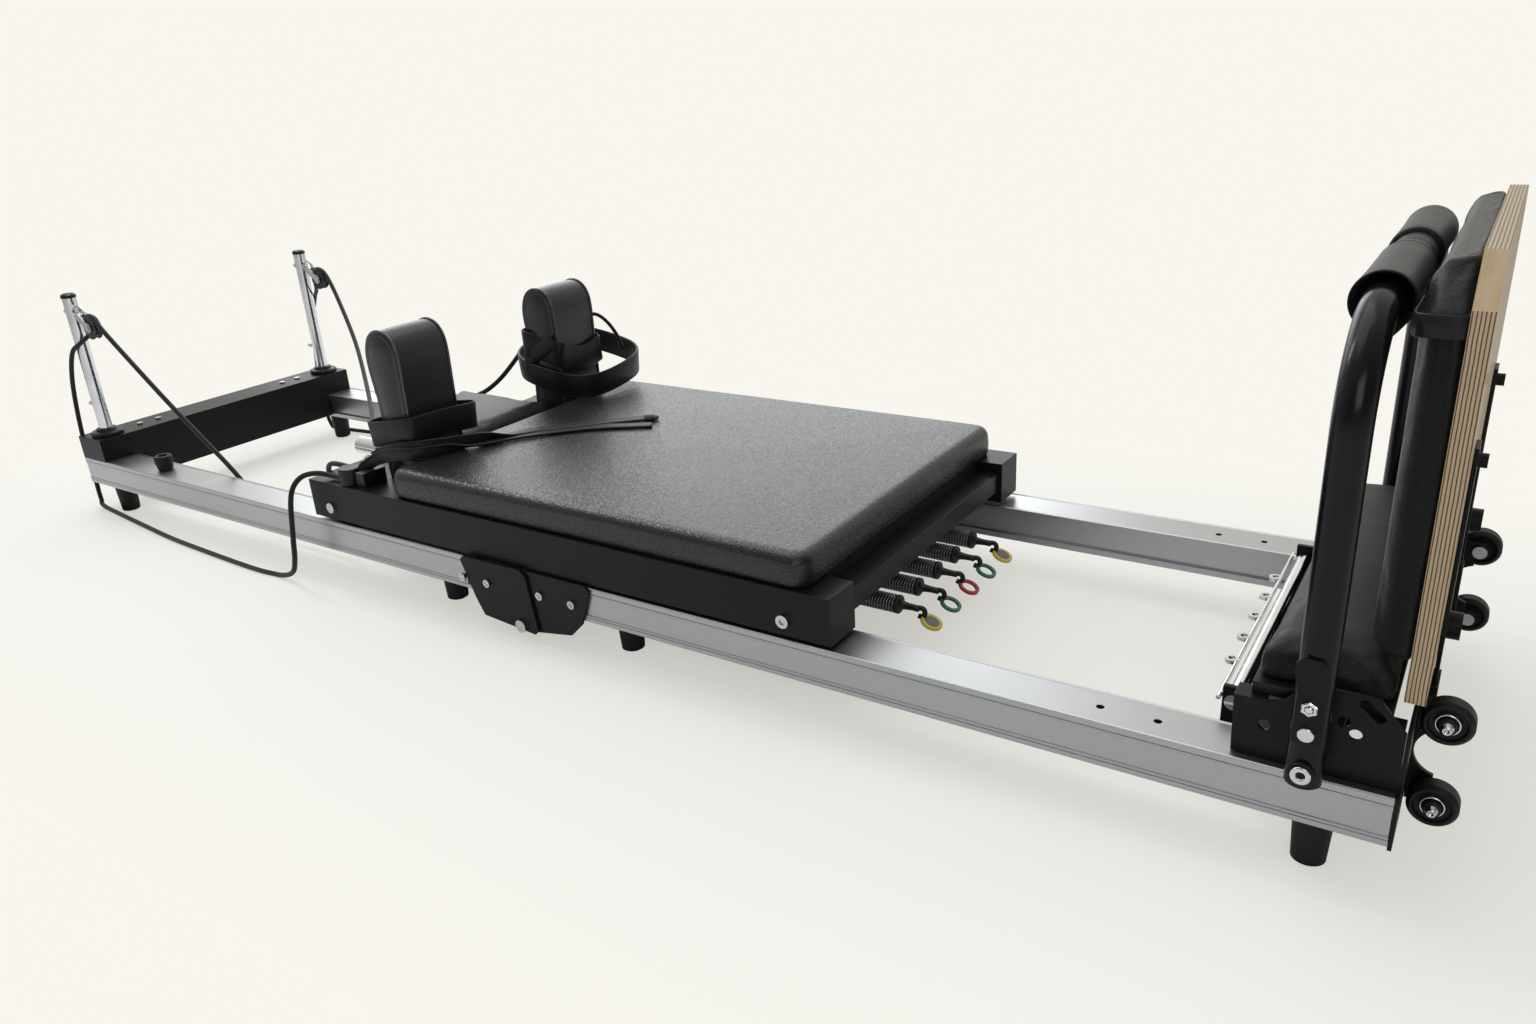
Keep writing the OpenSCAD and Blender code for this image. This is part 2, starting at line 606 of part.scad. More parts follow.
// One half of a turned wheel's outline, and the same half on its other face
module turned_both(half) rotate([90, 0, 0]) rotate_extrude()
    polygon(concat(half, [for (k = [len(half) - 1 : -1 : 0]) [half[k][0], -half[k][1]]]));
module run_wheel(x, side) color([0.1, 0.1, 0.11]) place() translate([x, side * beam_mid, run_axle_z])
    turned_both(let (w = run_wheel_w / 2, r = run_wheel_r)
        [[run_bolt_r + fit, -w], [12, -w], [13, -w + 3], [r - 4, -w + 3], [r - 2, -w], [r, -w + 2]]);
module carriage_wheel_head_near() run_wheel(run_x[0], -1);
module carriage_wheel_head_far() run_wheel(run_x[0], 1);
module carriage_wheel_foot_near() run_wheel(run_x[1], -1);
module carriage_wheel_foot_far() run_wheel(run_x[1], 1);
module guide_roller(x, side) color([0.1, 0.1, 0.11]) place() translate([x, side * guide_y, guide_z0])
    rotate_extrude() polygon([[guide_bolt_r + fit, 0], [8, 0], [9, 2], [guide_r - 2, 2], [guide_r, 4],
        [guide_r, guide_h - 2], [guide_r - 2, guide_h], [guide_bolt_r + fit, guide_h]]);
module guide_roller_head_near() guide_roller(guide_x[0], -1);
module guide_roller_head_far() guide_roller(guide_x[0], 1);
module guide_roller_foot_near() guide_roller(guide_x[1], -1);
module guide_roller_foot_far() guide_roller(guide_x[1], 1);

module carriage_cross_members() color([0.08, 0.08, 0.09]) place() {
    y1 = beam_in - 0.2;
    for (x = cross_x) difference() {
        box([x, -y1, cross_z1 - cross_h], [x + cross_w, y1, cross_z1 - seat]);
        box([x + beam_wall, -y1 - 1, cross_z1 - cross_h + beam_wall],
            [x + cross_w - beam_wall, y1 + 1, cross_z1 - beam_wall]);
    }
    // The plate that the rests stand on
    difference() {
        box([rest_plate_x0, -y1, beam_z1 - sheet], [pad_x0 + 2, y1, beam_z1]);
        for (q = rest_pegs) translate([q[0], q[1], beam_z1 - 10]) cylinder(r = peg_r + fit, h = 20);
    }
    // The plate that the springs hook into
    difference() {
        box([anchor_x, -spring_step * 2.5, spring_z - 16],
            [anchor_x + sheet, spring_step * 2.5, cross_z1 - cross_h + 0.5]);
        for (k = [0 : spring_n - 1]) translate([0, (k - 2) * spring_step, spring_z + spring_r - wire_r - 6])
            rod_x(wire_r + seat, anchor_x - 1, anchor_x + 10);
    }
}
module carriage_board() color("burlywood") place()
    box([pad_x0 + 4, -beam_in + 0.4, cross_z1], [pad_x1 - 5, beam_in - 0.4, beam_z1]);
module carriage_pad() color([0.16, 0.16, 0.17]) place() translate([(pad_x0 + pad_x1) / 2, 0, pad_z0])
    cushion(pad_len, pad_w, pad_t, 14, 7, 2.5);

// A shoulder rest: a finger-shaped outline in X and Z, rounded over its two flanks
function rest_outline(inset) = let (top = rest_h - rest_t / 2, r = rest_t / 2 - inset)
    concat([for (k = [0 : 2]) [r, inset + (top - 20) * k / 3]],
        [for (a = [-4 : 22.5 : 176]) [r * cos(a), top + r * sin(a)]],
        [[-r + 0.5, top - 14], [-r + 3, top - 60], [-r + 5, top - 100], [-r + 4, 60], [-r + 2, inset]]);
module shoulder_rest(y) translate([rest_x, y, pad_z0])
    skin([for (k = [[-0.5, 7], [-0.46, 2], [-0.3, 0], [0.3, 0], [0.46, 2], [0.5, 7]])
        [for (q = rest_outline(k[1])) [q[0], -k[0] * rest_w, q[1]]]]);
module shoulder_rests() color([0.14, 0.14, 0.15]) place() difference() {
    for (y = [-rest_y, rest_y]) shoulder_rest(y);
    for (q = rest_pegs) translate([q[0], q[1], pad_z0 - 1]) cylinder(r = peg_r + seat, h = 20);
}

module headrest_board() color([0.1, 0.1, 0.1]) place() {
    z0 = beam_z1 + 2;
    difference() {
        union() {
            box([headrest_x0 + 6, -headrest_w / 2 + 6, z0],
                [headrest_x1 - 4, headrest_w / 2 - 6, z0 + headrest_board_t - seat]);
            for (y = [-70, 70]) {
                translate([headrest_axis_x, 0, headrest_axis_z]) rod_y(4.5, y - 20, y + 20);
                box([headrest_x1 - 5, y - 20, z0], [headrest_axis_x, y + 20, z0 + 3]);
            }
        }
        translate([headrest_axis_x, 0, headrest_axis_z]) rod_y(2.5 + fit, -100, 100);
    }
}
// The prop that is folded under the headrest's near head corner: a chrome roller on a neck
module headrest_prop() color("gainsboro") place() {
    z0 = beam_z1 + 2;
    translate([0, -headrest_w / 2 + 22, z0 - 19]) {
        rod_x(17, headrest_x0 - 62, headrest_x0 - 2);
        rod_x(19, headrest_x0 - 8, headrest_x0);
        rod_x(8, headrest_x0 - 1, headrest_x0 + 26);
    }
    box([headrest_x0 + 10, -headrest_w / 2 + 10, z0 - 22],
        [headrest_x0 + 26, -headrest_w / 2 + 34, z0 - 0.1]);
}
module headrest_pad() color([0.16, 0.16, 0.17]) place()
    translate([(headrest_x0 + headrest_x1) / 2, 0, beam_z1 + 2 + headrest_board_t])
        cushion(headrest_len, headrest_w, headrest_t, 12, 5, 2);

// Cleats: a round knob, a block and a stub for the rope's end on each beam
module rope_cleats() color([0.06, 0.06, 0.06]) place() {
    both_sides() {
        translate([cleat_x, -beam_out + 19, beam_z1 + 0.1]) {
            rotate_extrude() polygon([[0, 0], [17, 0], [18, 1], [18, 26], [16.5, 28], [0, 28]]);
            translate([0, 0, 6]) rod_x(4, -22, -17);
        }
        box([cleat_x + 24, -beam_out + 12, beam_z1 + 0.1], [cleat_x + 44, -beam_out + 56, beam_z1 + 24]);
    }
    // Hinge pins of the headrest, held by lugs on the rest plate
    for (y = [-70, 70]) {
        translate([headrest_axis_x, 0, headrest_axis_z]) rod_y(2.5, y - 27, y + 27);
        for (s = [-24, 24]) translate([headrest_axis_x, y + s, 0])
            box([-5, -3, beam_z1 + 0.1], [5, 3, headrest_axis_z + 4]);
    }
}

// Springs: a straight lead, the curls, and a straight end into the hook
function spring_path(y) = let (R = spring_r - wire_r, n = spring_curls * 8) concat(
    [[anchor_x + sheet / 2 - 8, y, spring_z + R - 6], [anchor_x + sheet / 2 + 2, y, spring_z + R - 6]],
    [for (i = [0 : n]) [spring_x0 + curl_pitch * i / 8, y + R * sin(45 * i), spring_z + R * cos(45 * i)]]);
function least_gap(p, wire) = min([for (i = [2 : len(p) - 1], j = [i + 4 : 1 : min(i + 12, len(p) - 1)])
    norm(p[i] - p[j])]) - wire;
echo(least_gap_between_curls = least_gap(spring_path(0), 2 * wire_r));
module spring_hook(y) translate([spring_x1, y, spring_z]) {
    rod_x(spring_r, wire_r + seat, wire_r + 6);
    rod_x(4, 7, 34);
    translate([34, 0, -6]) rotate([0, 40, 0]) rod_x(6, -8, 4.9);
}
module springs() color([0.12, 0.12, 0.13]) place() for (k = [0 : spring_n - 1]) {
    tube_along(spring_path((k - 2) * spring_step), wire_r, 6, [0, 0, 1]);
    spring_hook((k - 2) * spring_step);
}
// Pull loops: flat rings or discs that hang from the hooks' ends
module pull_ring(k, disc) translate([spring_x1 + 52, (k - 2) * spring_step, spring_z - 16]) rotate([0, 24, 0])
    difference() {
        cylinder(r = 15, h = 4, center = true);
        if (disc) {
            for (s = [-1, 1]) translate([0, 0, s * 2]) cylinder(r = 10.5, h = 1.6, center = true);
        } else {
            cylinder(r = 10.5, h = 8, center = true);
        }
    }
module spring_pulls_yellow() color("gold") place() for (k = [0, 4]) pull_ring(k, true);
module spring_pulls_green() color("seagreen") place() for (k = [1, 3]) pull_ring(k, false);
module spring_pull_red() color("firebrick") place() pull_ring(2, false);

// Foot end
module footbar_brackets() color([0.07, 0.07, 0.07]) place() both_sides() difference() {
    union() {
        plate_xz(-bracket_out, -bracket_in) difference() {
            polygon([[bracket_x0 + 2, rail_h + 0.2], [bracket_x0, shelf_z], [bracket_x0 + 54, shelf_z],
                [bracket_x0 + 54, rail_h + bracket_peak], [frame_len - 26, rail_h + bracket_peak],
                [frame_len, shelf_z - 2], [frame_len, rail_h + 0.2]]);
            for (a = pin_angles) translate([bar_x, bar_pivot_z]) rotate(90 - a) translate([latch_reach, 0])
                circle(latch_pin_r + 1);
            translate([bar_x, bar_pivot_z]) circle(bar_bolt_r + fit);
            translate([frame_len - 30, shelf_z + 14]) rotate(-40) translate([-9, 0]) {
                circle(5);
                translate([18, 0]) circle(5);
                translate([0, -5]) square([18, 10]);
            }
        }
        plate_xz(-bracket_out, -bracket_in) difference() {
            translate([bracket_x0 + 29, shelf_z - 1]) square([26, bracket_peak - bracket_h + 1]);
            translate([bracket_x0 + 28, rail_h + bracket_peak]) circle(bracket_peak - bracket_h);
        }
        // Shelf under the platform and flange on the rail
        for (x = [bracket_x0, frame_len - 32])
            box([x, -bracket_out, shelf_z - sheet], [x + 30, -bracket_out + shelf_w, shelf_z]);
        box([bracket_x0 + 2, -bracket_out, rail_h + 0.2],
            [frame_len, -bracket_out + 36, rail_h + 0.2 + sheet]);
    }
    for (x = bracket_bolts) translate([x, -rail_mid + 6, rail_h - 1]) cylinder(r = bolt_r + fit, h = 12);
}
module rear_panel() color([0.07, 0.07, 0.07]) place() difference() {
    union() {
        box([panel_x, -bracket_out, rail_h], [panel_x + sheet, bracket_out, shelf_z]);
        box([panel_x, -rail_in + 1, 10], [panel_x + sheet, rail_in - 1, rail_h + 1]);
        both_sides() {
            box([panel_x, -rail_out, -4], [panel_x + sheet, -rail_in + 2, rail_h + 0.5]);
            box([panel_x + sheet - 0.5, -upright_y - 20, upright_z0 - 4],
                [panel_x + 16, -upright_y + 20, shelf_z - 6]);
        }
    }
    both_sides() box([jump_x1 - 0.1, -upright_y - upright_w / 2 - 0.4, upright_z0 - seat],
        [jump_x1 + upright_t + 0.7, -upright_y + upright_w / 2 + 0.4, shelf_z]);
}
module platform_board() color([0.1, 0.1, 0.1]) place()
    box([platform_x0, -bracket_in + 8, shelf_z + seat],
        [platform_x1, bracket_in - 8, shelf_z + seat + platform_board_t]);
module platform_pad() color([0.14, 0.14, 0.15]) place()
    translate([(platform_x0 + platform_x1) / 2, 0, platform_z0])
        cushion(platform_x1 - platform_x0, platform_w, platform_t, 12, 5, 2);

// Spring bar: a chrome tube with a thin rod of five eyelets in front of it
module spring_bar() color("gainsboro") place() {
    translate([eye_tube_x, 0, eye_bar_z]) rod_y(eye_tube_r, -eye_bar_end - 8, eye_bar_end + 8);
    translate([eye_bar_x, 0, eye_bar_z]) difference() {
        union() {
            rod_y(2.5, -eye_bar_end - 3, eye_bar_end + 3);
            for (k = [0 : spring_n - 1]) translate([-6, (k - 2) * spring_step, -2.5])
                cylinder(r = eye_r + 3.5, h = 5);
            for (y = [-eye_bar_end + 8, eye_bar_end - 8])
                box([0, y - 3, -2.4], [eye_tube_x - eye_bar_x - eye_tube_r + 0.6, y + 3, 2.4]);
        }
        for (k = [0 : spring_n - 1]) translate([-6, (k - 2) * spring_step, -5]) cylinder(r = eye_r, h = 10);
    }
}

// Brackets for the transport wheels: two arms with a round cut-out between them
module wheel_bracket_outline() difference() {
    x0 = panel_x + sheet + 0.1;
    union() {
        translate([x0, wheel_z[0] - 10]) square([10, wheel_step + 20]);
        for (z = wheel_z) {
            translate([wheel_x, z]) circle(11);
            translate([x0, z - 11]) square([wheel_x - x0, 22]);
        }
        translate([x0, wheel_z[0]]) square([wheel_x - x0 - 4, wheel_step]);
    }
    translate([wheel_x + 2, (wheel_z[0] + wheel_z[1]) / 2]) circle(wheel_step / 2 - 20);
    for (z = wheel_z) translate([wheel_x, z]) circle(wheel_bolt_r + fit);
}
module wheel_brackets() color([0.07, 0.07, 0.07]) place() both_sides()
    plate_xz(-bracket_y - 5, -bracket_y) wheel_bracket_outline();
module transport_wheel(z, side) color([0.06, 0.06, 0.06]) place() translate([wheel_x, side * wheel_y, z])
    turned_both(let (w = wheel_w / 2, r = wheel_r) [[wheel_bolt_r + fit, -w + 2], [11, -w + 2], [12, -w + 5],
        [r - 7, -w + 4], [r - 5.5, -w], [r - 3, -w], [r, -w + 4]]);
module transport_wheel_upper_near() transport_wheel(wheel_z[1], -1);
module transport_wheel_lower_near() transport_wheel(wheel_z[0], -1);
module transport_wheel_upper_far() transport_wheel(wheel_z[1], 1);
module transport_wheel_lower_far() transport_wheel(wheel_z[0], 1);

module foot_frame_bolts() color("silver") place() both_sides() {
    fold_bolts(fold_bolts_foot, -foot_plate_y - fold_plate_t);
    // Fold pivot pin with its head
    translate([fold_x, 0, fold_z]) {
        rod_y(pivot_r, -head_plate_y - fold_plate_t - 0.5, -rail_out + 4);
        rod_y(10, -head_plate_y - fold_plate_t - 5, -head_plate_y - fold_plate_t - 0.4);
        rod_y(9, -foot_plate_y + 0.1, -rail_out + 6);
    }
    // Transport wheel axles
    for (z = wheel_z) translate([wheel_x, 0, z]) {
        rod_y(wheel_bolt_r, -wheel_y - wheel_w / 2, -bracket_y + 4);
        rod_y(8, -wheel_y - wheel_w / 2 - 3, -wheel_y - wheel_w / 2 + 1.6);
        rod_y(8, -bracket_y + 0.1, -bracket_y + 5);
    }
    // Footbar pivot with its washer and spacer
    translate([bar_x, 0, bar_pivot_z]) {
        rod_y(bar_bolt_r, -bar_arm_y - bar_r - 0.5, -bracket_in + 3);
        rod_y(12, -bar_arm_y - bar_r - 3.5, -bar_arm_y - bar_r - 0.4);
        rod_y(10, -bracket_in + 0.1, -bracket_in + 5);
        rod_y(10, -bar_arm_y + bar_r + 0.2, -bracket_out - 0.1);
    }
    // Bolts that hold the brackets to the rails
    for (x = bracket_bolts) translate([x, -rail_mid + 6, 0]) {
        translate([0, 0, rail_h + sheet + 0.3]) cylinder(r = 6.5, h = 4);
        translate([0, 0, rail_h]) cylinder(r = bolt_r, h = sheet + 1);
    }
}

// Footbar: a bent tube; its sleeves; and the two latches on its arms
module bar_path(r, end) {
    both_sides() {
        translate([bar_x, -bar_arm_y, bar_pivot_z - end])
            cylinder(r = r, h = bar_z - bar_bend - bar_pivot_z + end);
        translate([bar_x, -bar_arm_y + bar_bend, bar_z - bar_bend]) rotate([90, 0, -90])
            rotate_extrude(angle = 90) translate([bar_bend, 0]) circle(r);
    }
    translate([bar_x, 0, bar_z]) rod_y(r, -bar_arm_y + bar_bend, bar_arm_y - bar_bend);
}
module footbar_tube() color([0.07, 0.07, 0.07]) place() difference() {
    bar_path(bar_r, 18);
    bar_path(bar_r - bar_wall, 14);
    both_sides() translate([bar_x, -bar_arm_y, bar_pivot_z]) {
        rod_y(bar_bolt_r + fit, -bar_r - 1, bar_r + 1);
        translate([0, 0, latch_reach]) rod_y(latch_pin_r + fit, -bar_r - 1, bar_r + 1);
        translate([0, 0, latch_reach + 27]) rod_y(3 + fit, -bar_r - 1, 0);
    }
}
module sleeve(y0, y1, r) translate([bar_x, (y0 + y1) / 2, bar_z])
    turned_both(let (h = (y1 - y0) / 2) [[bar_r + seat, -h], [r - 3, -h], [r, -h + 3]]);
module footbar_sleeves() color([0.13, 0.13, 0.14]) place() {
    sleeve(-sleeve_end, -36, sleeve_r);
    sleeve(-35.5, 45.5, sleeve_r - 5);
    sleeve(46, sleeve_end, sleeve_r);
}
module latch() {
    z = bar_pivot_z + latch_reach;
    y = -bar_arm_y - bar_r - 1;
    plate_xz(y - 3, y) translate([bar_x, z]) polygon([[-13, -12], [13, -12], [13, 58], [11, 72], [6, 76],
        [-12, 76], [-16, 70], [-16, 60], [-12, 40]]);
    translate([bar_x, 0, z]) {
        rod_y(latch_pin_r, y - 1, -bracket_out - seat);
        rod_y(7, y - 7, y - 2.9);
    }
    bolt_head_near(bar_x, z + 27, y - 2.9, 6.5, 4);
    translate([bar_x, 0, z + 27]) rod_y(3, y - 1, y + 16);
}
module footbar_latch_near() color([0.06, 0.06, 0.06]) place() latch();
module footbar_latch_far() color([0.06, 0.06, 0.06]) place() mirror([0, 1, 0]) latch();

// Jumpboard: chamfered plywood, its pad and the uprights that stand in the sockets
module jumpboard_panel() color("burlywood") place() translate([jump_x0, 0, 0])
    rotate([90, 0, 90]) linear_extrude(jump_t) {
        a = jump_w / 2;
        c = jump_chamfer;
        polygon([[-a, jump_z0], [-a, jump_top - c], [-a + c, jump_top], [a - c, jump_top], [a, jump_top - c],
            [a, jump_z0]]);
    }
function jump_half(a, t, b, c) = [[a - 14, b], [a - 4, b + 4], [a, b + 14], [a, t - c - 4],
    [a - 2, t - c + 4], [a - c + 4, t - 2], [a - c - 6, t]];
function jump_ring(x, inset) = let (h = jump_half(jump_w / 2 - 3 - inset, jump_top - 4 - inset,
    jump_pad_z0 + inset, jump_chamfer), n = len(h) - 1)
    concat([for (k = [0 : n]) [x, h[k][0], h[k][1]]], [for (k = [n : -1 : 0]) [x, -h[k][0], h[k][1]]]);
module jumpboard_pad() color([0.12, 0.12, 0.13]) place() {
    x1 = jump_x0 - seat;
    x0 = x1 - jump_pad_t;
    skin([jump_ring(x0, 60), jump_ring(x0 + 1.5, 14), jump_ring(x0 + 5, 5), jump_ring(x0 + 14, 0),
        jump_ring(x1 - 5, 0), jump_ring(x1, 4)]);
}
module jumpboard_uprights() color([0.06, 0.06, 0.06]) place() both_sides() {
    translate([jump_x1 + 0.2, -upright_y, 0]) {
        box([0, -upright_w / 2, upright_z0], [upright_t, upright_w / 2, upright_z1]);
        translate([0, 0, 173]) rod_x(14, upright_t - 0.2, upright_t + 12);
        translate([0, 0, 345]) rod_x(7, upright_t - 0.2, upright_t + 8);
    }
}

// Cords and straps
module rope_near() color([0.05, 0.05, 0.05]) place() tube_along(near_rope, rope_r, 8, [0, 1, 0]);
module rope_far() color([0.05, 0.05, 0.05]) place() tube_along(far_rope, rope_r, 8, [0, 1, 0]);
// A hand loop: round the middle c with radii a and b, rising by lean across and falling by slope along
function loop_path(c, a, b, lean, slope, power, n) = [for (i = [0 : n - 1])
    let (q = squared(360 * i / n, power)) c + [a * q[0], b * q[1], lean * q[1] - slope * q[0]]];
module hand_straps() color([0.07, 0.07, 0.07]) place() {
    a = rest_t / 2 + band_gap;
    b = rest_w / 2 + band_gap;
    loop_band(loop_path([rest_x, -rest_y, pad_top + 24], a, b, 3, 0, 10, 24), 38, 3);
    loop_band(loop_path([rest_x, rest_y, pad_top + 66], a, b, 8, 0, 10, 24), 24, 3);
    loop_band(loop_path(far_loop_mid, far_loop_a, far_loop_b, 18, 12, 5, 24), 36, 3);
    // The near strap's doubled tail, from its band down to the pad and along it
    tail = [for (q = [[7, -21, 16], [14, -19, 8], [27, -15, 3.6], [55, 7, 3.4], [95, 57, 3.4],
        [145, 115, 3.4], [205, 183, 3.4], [257, 237, 3.4]]) [pad_x0 + q[0], -rest_y + q[1], pad_top + q[2]]];
    ribbon(tail, [for (q = tail) [0.6, -0.8, 0]], 20, 6);
}
// The strap from the jumpboard's back round its near edge to the footbar's sleeve
module tie_strap() color([0.06, 0.06, 0.06]) place() {
    back = jump_x1 + 2.2;
    face = jump_x0 - jump_pad_t - 3.5;
    p = [for (q = [[back, 60, 0], [back, 4, 0], [back - 0.9, -2.6, 0], [back - 4, -3.6, 0],
        [jump_x0 - jump_pad_t / 2, -3.5, 0], [jump_x0 - jump_pad_t * 0.9, -1, 0], [face + 0.5, 18, -2],
        [face, 60, -4], [face, 100, -5]]) [q[0], q[1] - tie_strap_y, q[2] + tie_strap_z]];
    ribbon(p, [for (q = p) [0, 0, 1]], 26, 2.4);
}

foot_rails();
foot_cross_members();
rear_panel();
footbar_brackets();
foot_hinge_plates();
foot_end_feet();
spring_bar();
platform_board();
platform_pad();
wheel_brackets();
foot_frame_bolts();
head_rails();
head_cross_members();
head_hinge_plates();
head_end_feet();
rope_posts();
post_collars();
post_hardware();
head_stops();
head_frame_bolts();
pulley_blocks();
sheave_near();
sheave_far();
carriage_beams();
carriage_cross_members();
carriage_board();
carriage_pad();
shoulder_rests();
springs();
spring_pulls_yellow();
spring_pulls_green();
spring_pull_red();
carriage_bolts();
rope_cleats();
carriage_wheel_head_near();
carriage_wheel_head_far();
carriage_wheel_foot_near();
carriage_wheel_foot_far();
guide_roller_head_near();
guide_roller_head_far();
guide_roller_foot_near();
guide_roller_foot_far();
headrest_board();
headrest_pad();
headrest_prop();
footbar_tube();
footbar_sleeves();
footbar_latch_near();
footbar_latch_far();
jumpboard_panel();
jumpboard_pad();
jumpboard_uprights();
transport_wheel_upper_near();
transport_wheel_lower_near();
transport_wheel_upper_far();
transport_wheel_lower_far();
rope_near();
rope_far();
hand_straps();
tie_strap();
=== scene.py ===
"""The folding pilates reformer's look: camera, light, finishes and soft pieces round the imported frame."""

import json
import logging
import math
from collections.abc import Callable, Sequence
from dataclasses import dataclass, field
from enum import Enum
from typing import Any

import bpy
from mathutils import Matrix, Vector, noise

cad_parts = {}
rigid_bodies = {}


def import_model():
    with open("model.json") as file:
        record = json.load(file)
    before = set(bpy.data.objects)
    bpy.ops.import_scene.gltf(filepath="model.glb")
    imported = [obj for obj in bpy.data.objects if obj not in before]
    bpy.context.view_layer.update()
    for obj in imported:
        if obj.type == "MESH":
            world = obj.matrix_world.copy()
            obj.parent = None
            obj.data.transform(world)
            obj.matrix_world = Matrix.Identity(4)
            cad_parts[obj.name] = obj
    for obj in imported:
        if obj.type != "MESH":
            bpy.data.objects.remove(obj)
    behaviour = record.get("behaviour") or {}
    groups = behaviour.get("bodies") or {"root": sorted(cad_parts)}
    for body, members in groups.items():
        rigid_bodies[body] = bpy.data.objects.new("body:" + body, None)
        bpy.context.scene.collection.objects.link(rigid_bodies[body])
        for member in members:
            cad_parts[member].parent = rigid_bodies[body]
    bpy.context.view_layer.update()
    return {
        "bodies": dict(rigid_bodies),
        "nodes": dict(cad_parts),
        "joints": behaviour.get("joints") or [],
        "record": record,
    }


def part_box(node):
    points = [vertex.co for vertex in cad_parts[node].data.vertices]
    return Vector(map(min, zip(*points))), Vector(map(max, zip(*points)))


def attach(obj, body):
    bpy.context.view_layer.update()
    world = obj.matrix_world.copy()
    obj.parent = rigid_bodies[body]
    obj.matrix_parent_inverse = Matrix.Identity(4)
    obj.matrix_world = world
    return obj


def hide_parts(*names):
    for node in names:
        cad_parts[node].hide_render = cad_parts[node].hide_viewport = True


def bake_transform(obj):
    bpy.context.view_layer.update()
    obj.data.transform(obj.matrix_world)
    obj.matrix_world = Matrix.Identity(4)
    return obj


LOG = logging.getLogger("reformer")

# The part's own numbers: millimetres along the rails, across, and up from the rails' underside
X_MID = 1226.5
FOOT_H = 62.0

Tree, Node, Socket = bpy.types.NodeTree, bpy.types.Node, bpy.types.NodeSocket
Piece, Material = bpy.types.Object, bpy.types.Material
Pair = tuple[float, float]
Point = tuple[float, float, float]
Line = Sequence[Vector]


def row(x: float, y: float, z: float) -> Vector:
    """A place given in millimetres of the machine's own frame, as metres in the row frame."""
    return Vector(((x - X_MID) / 1000, y / 1000, (z + FOOT_H) / 1000))


def mm(value: float) -> float:
    """Millimetres as metres."""
    return value / 1000


class Side(Enum):
    """The two long sides of the machine."""

    NEAR = -1
    FAR = 1


class Axis(Enum):
    """The axis that a turned piece turns about."""

    X = 0
    Y = 1
    Z = 2


# Meshes


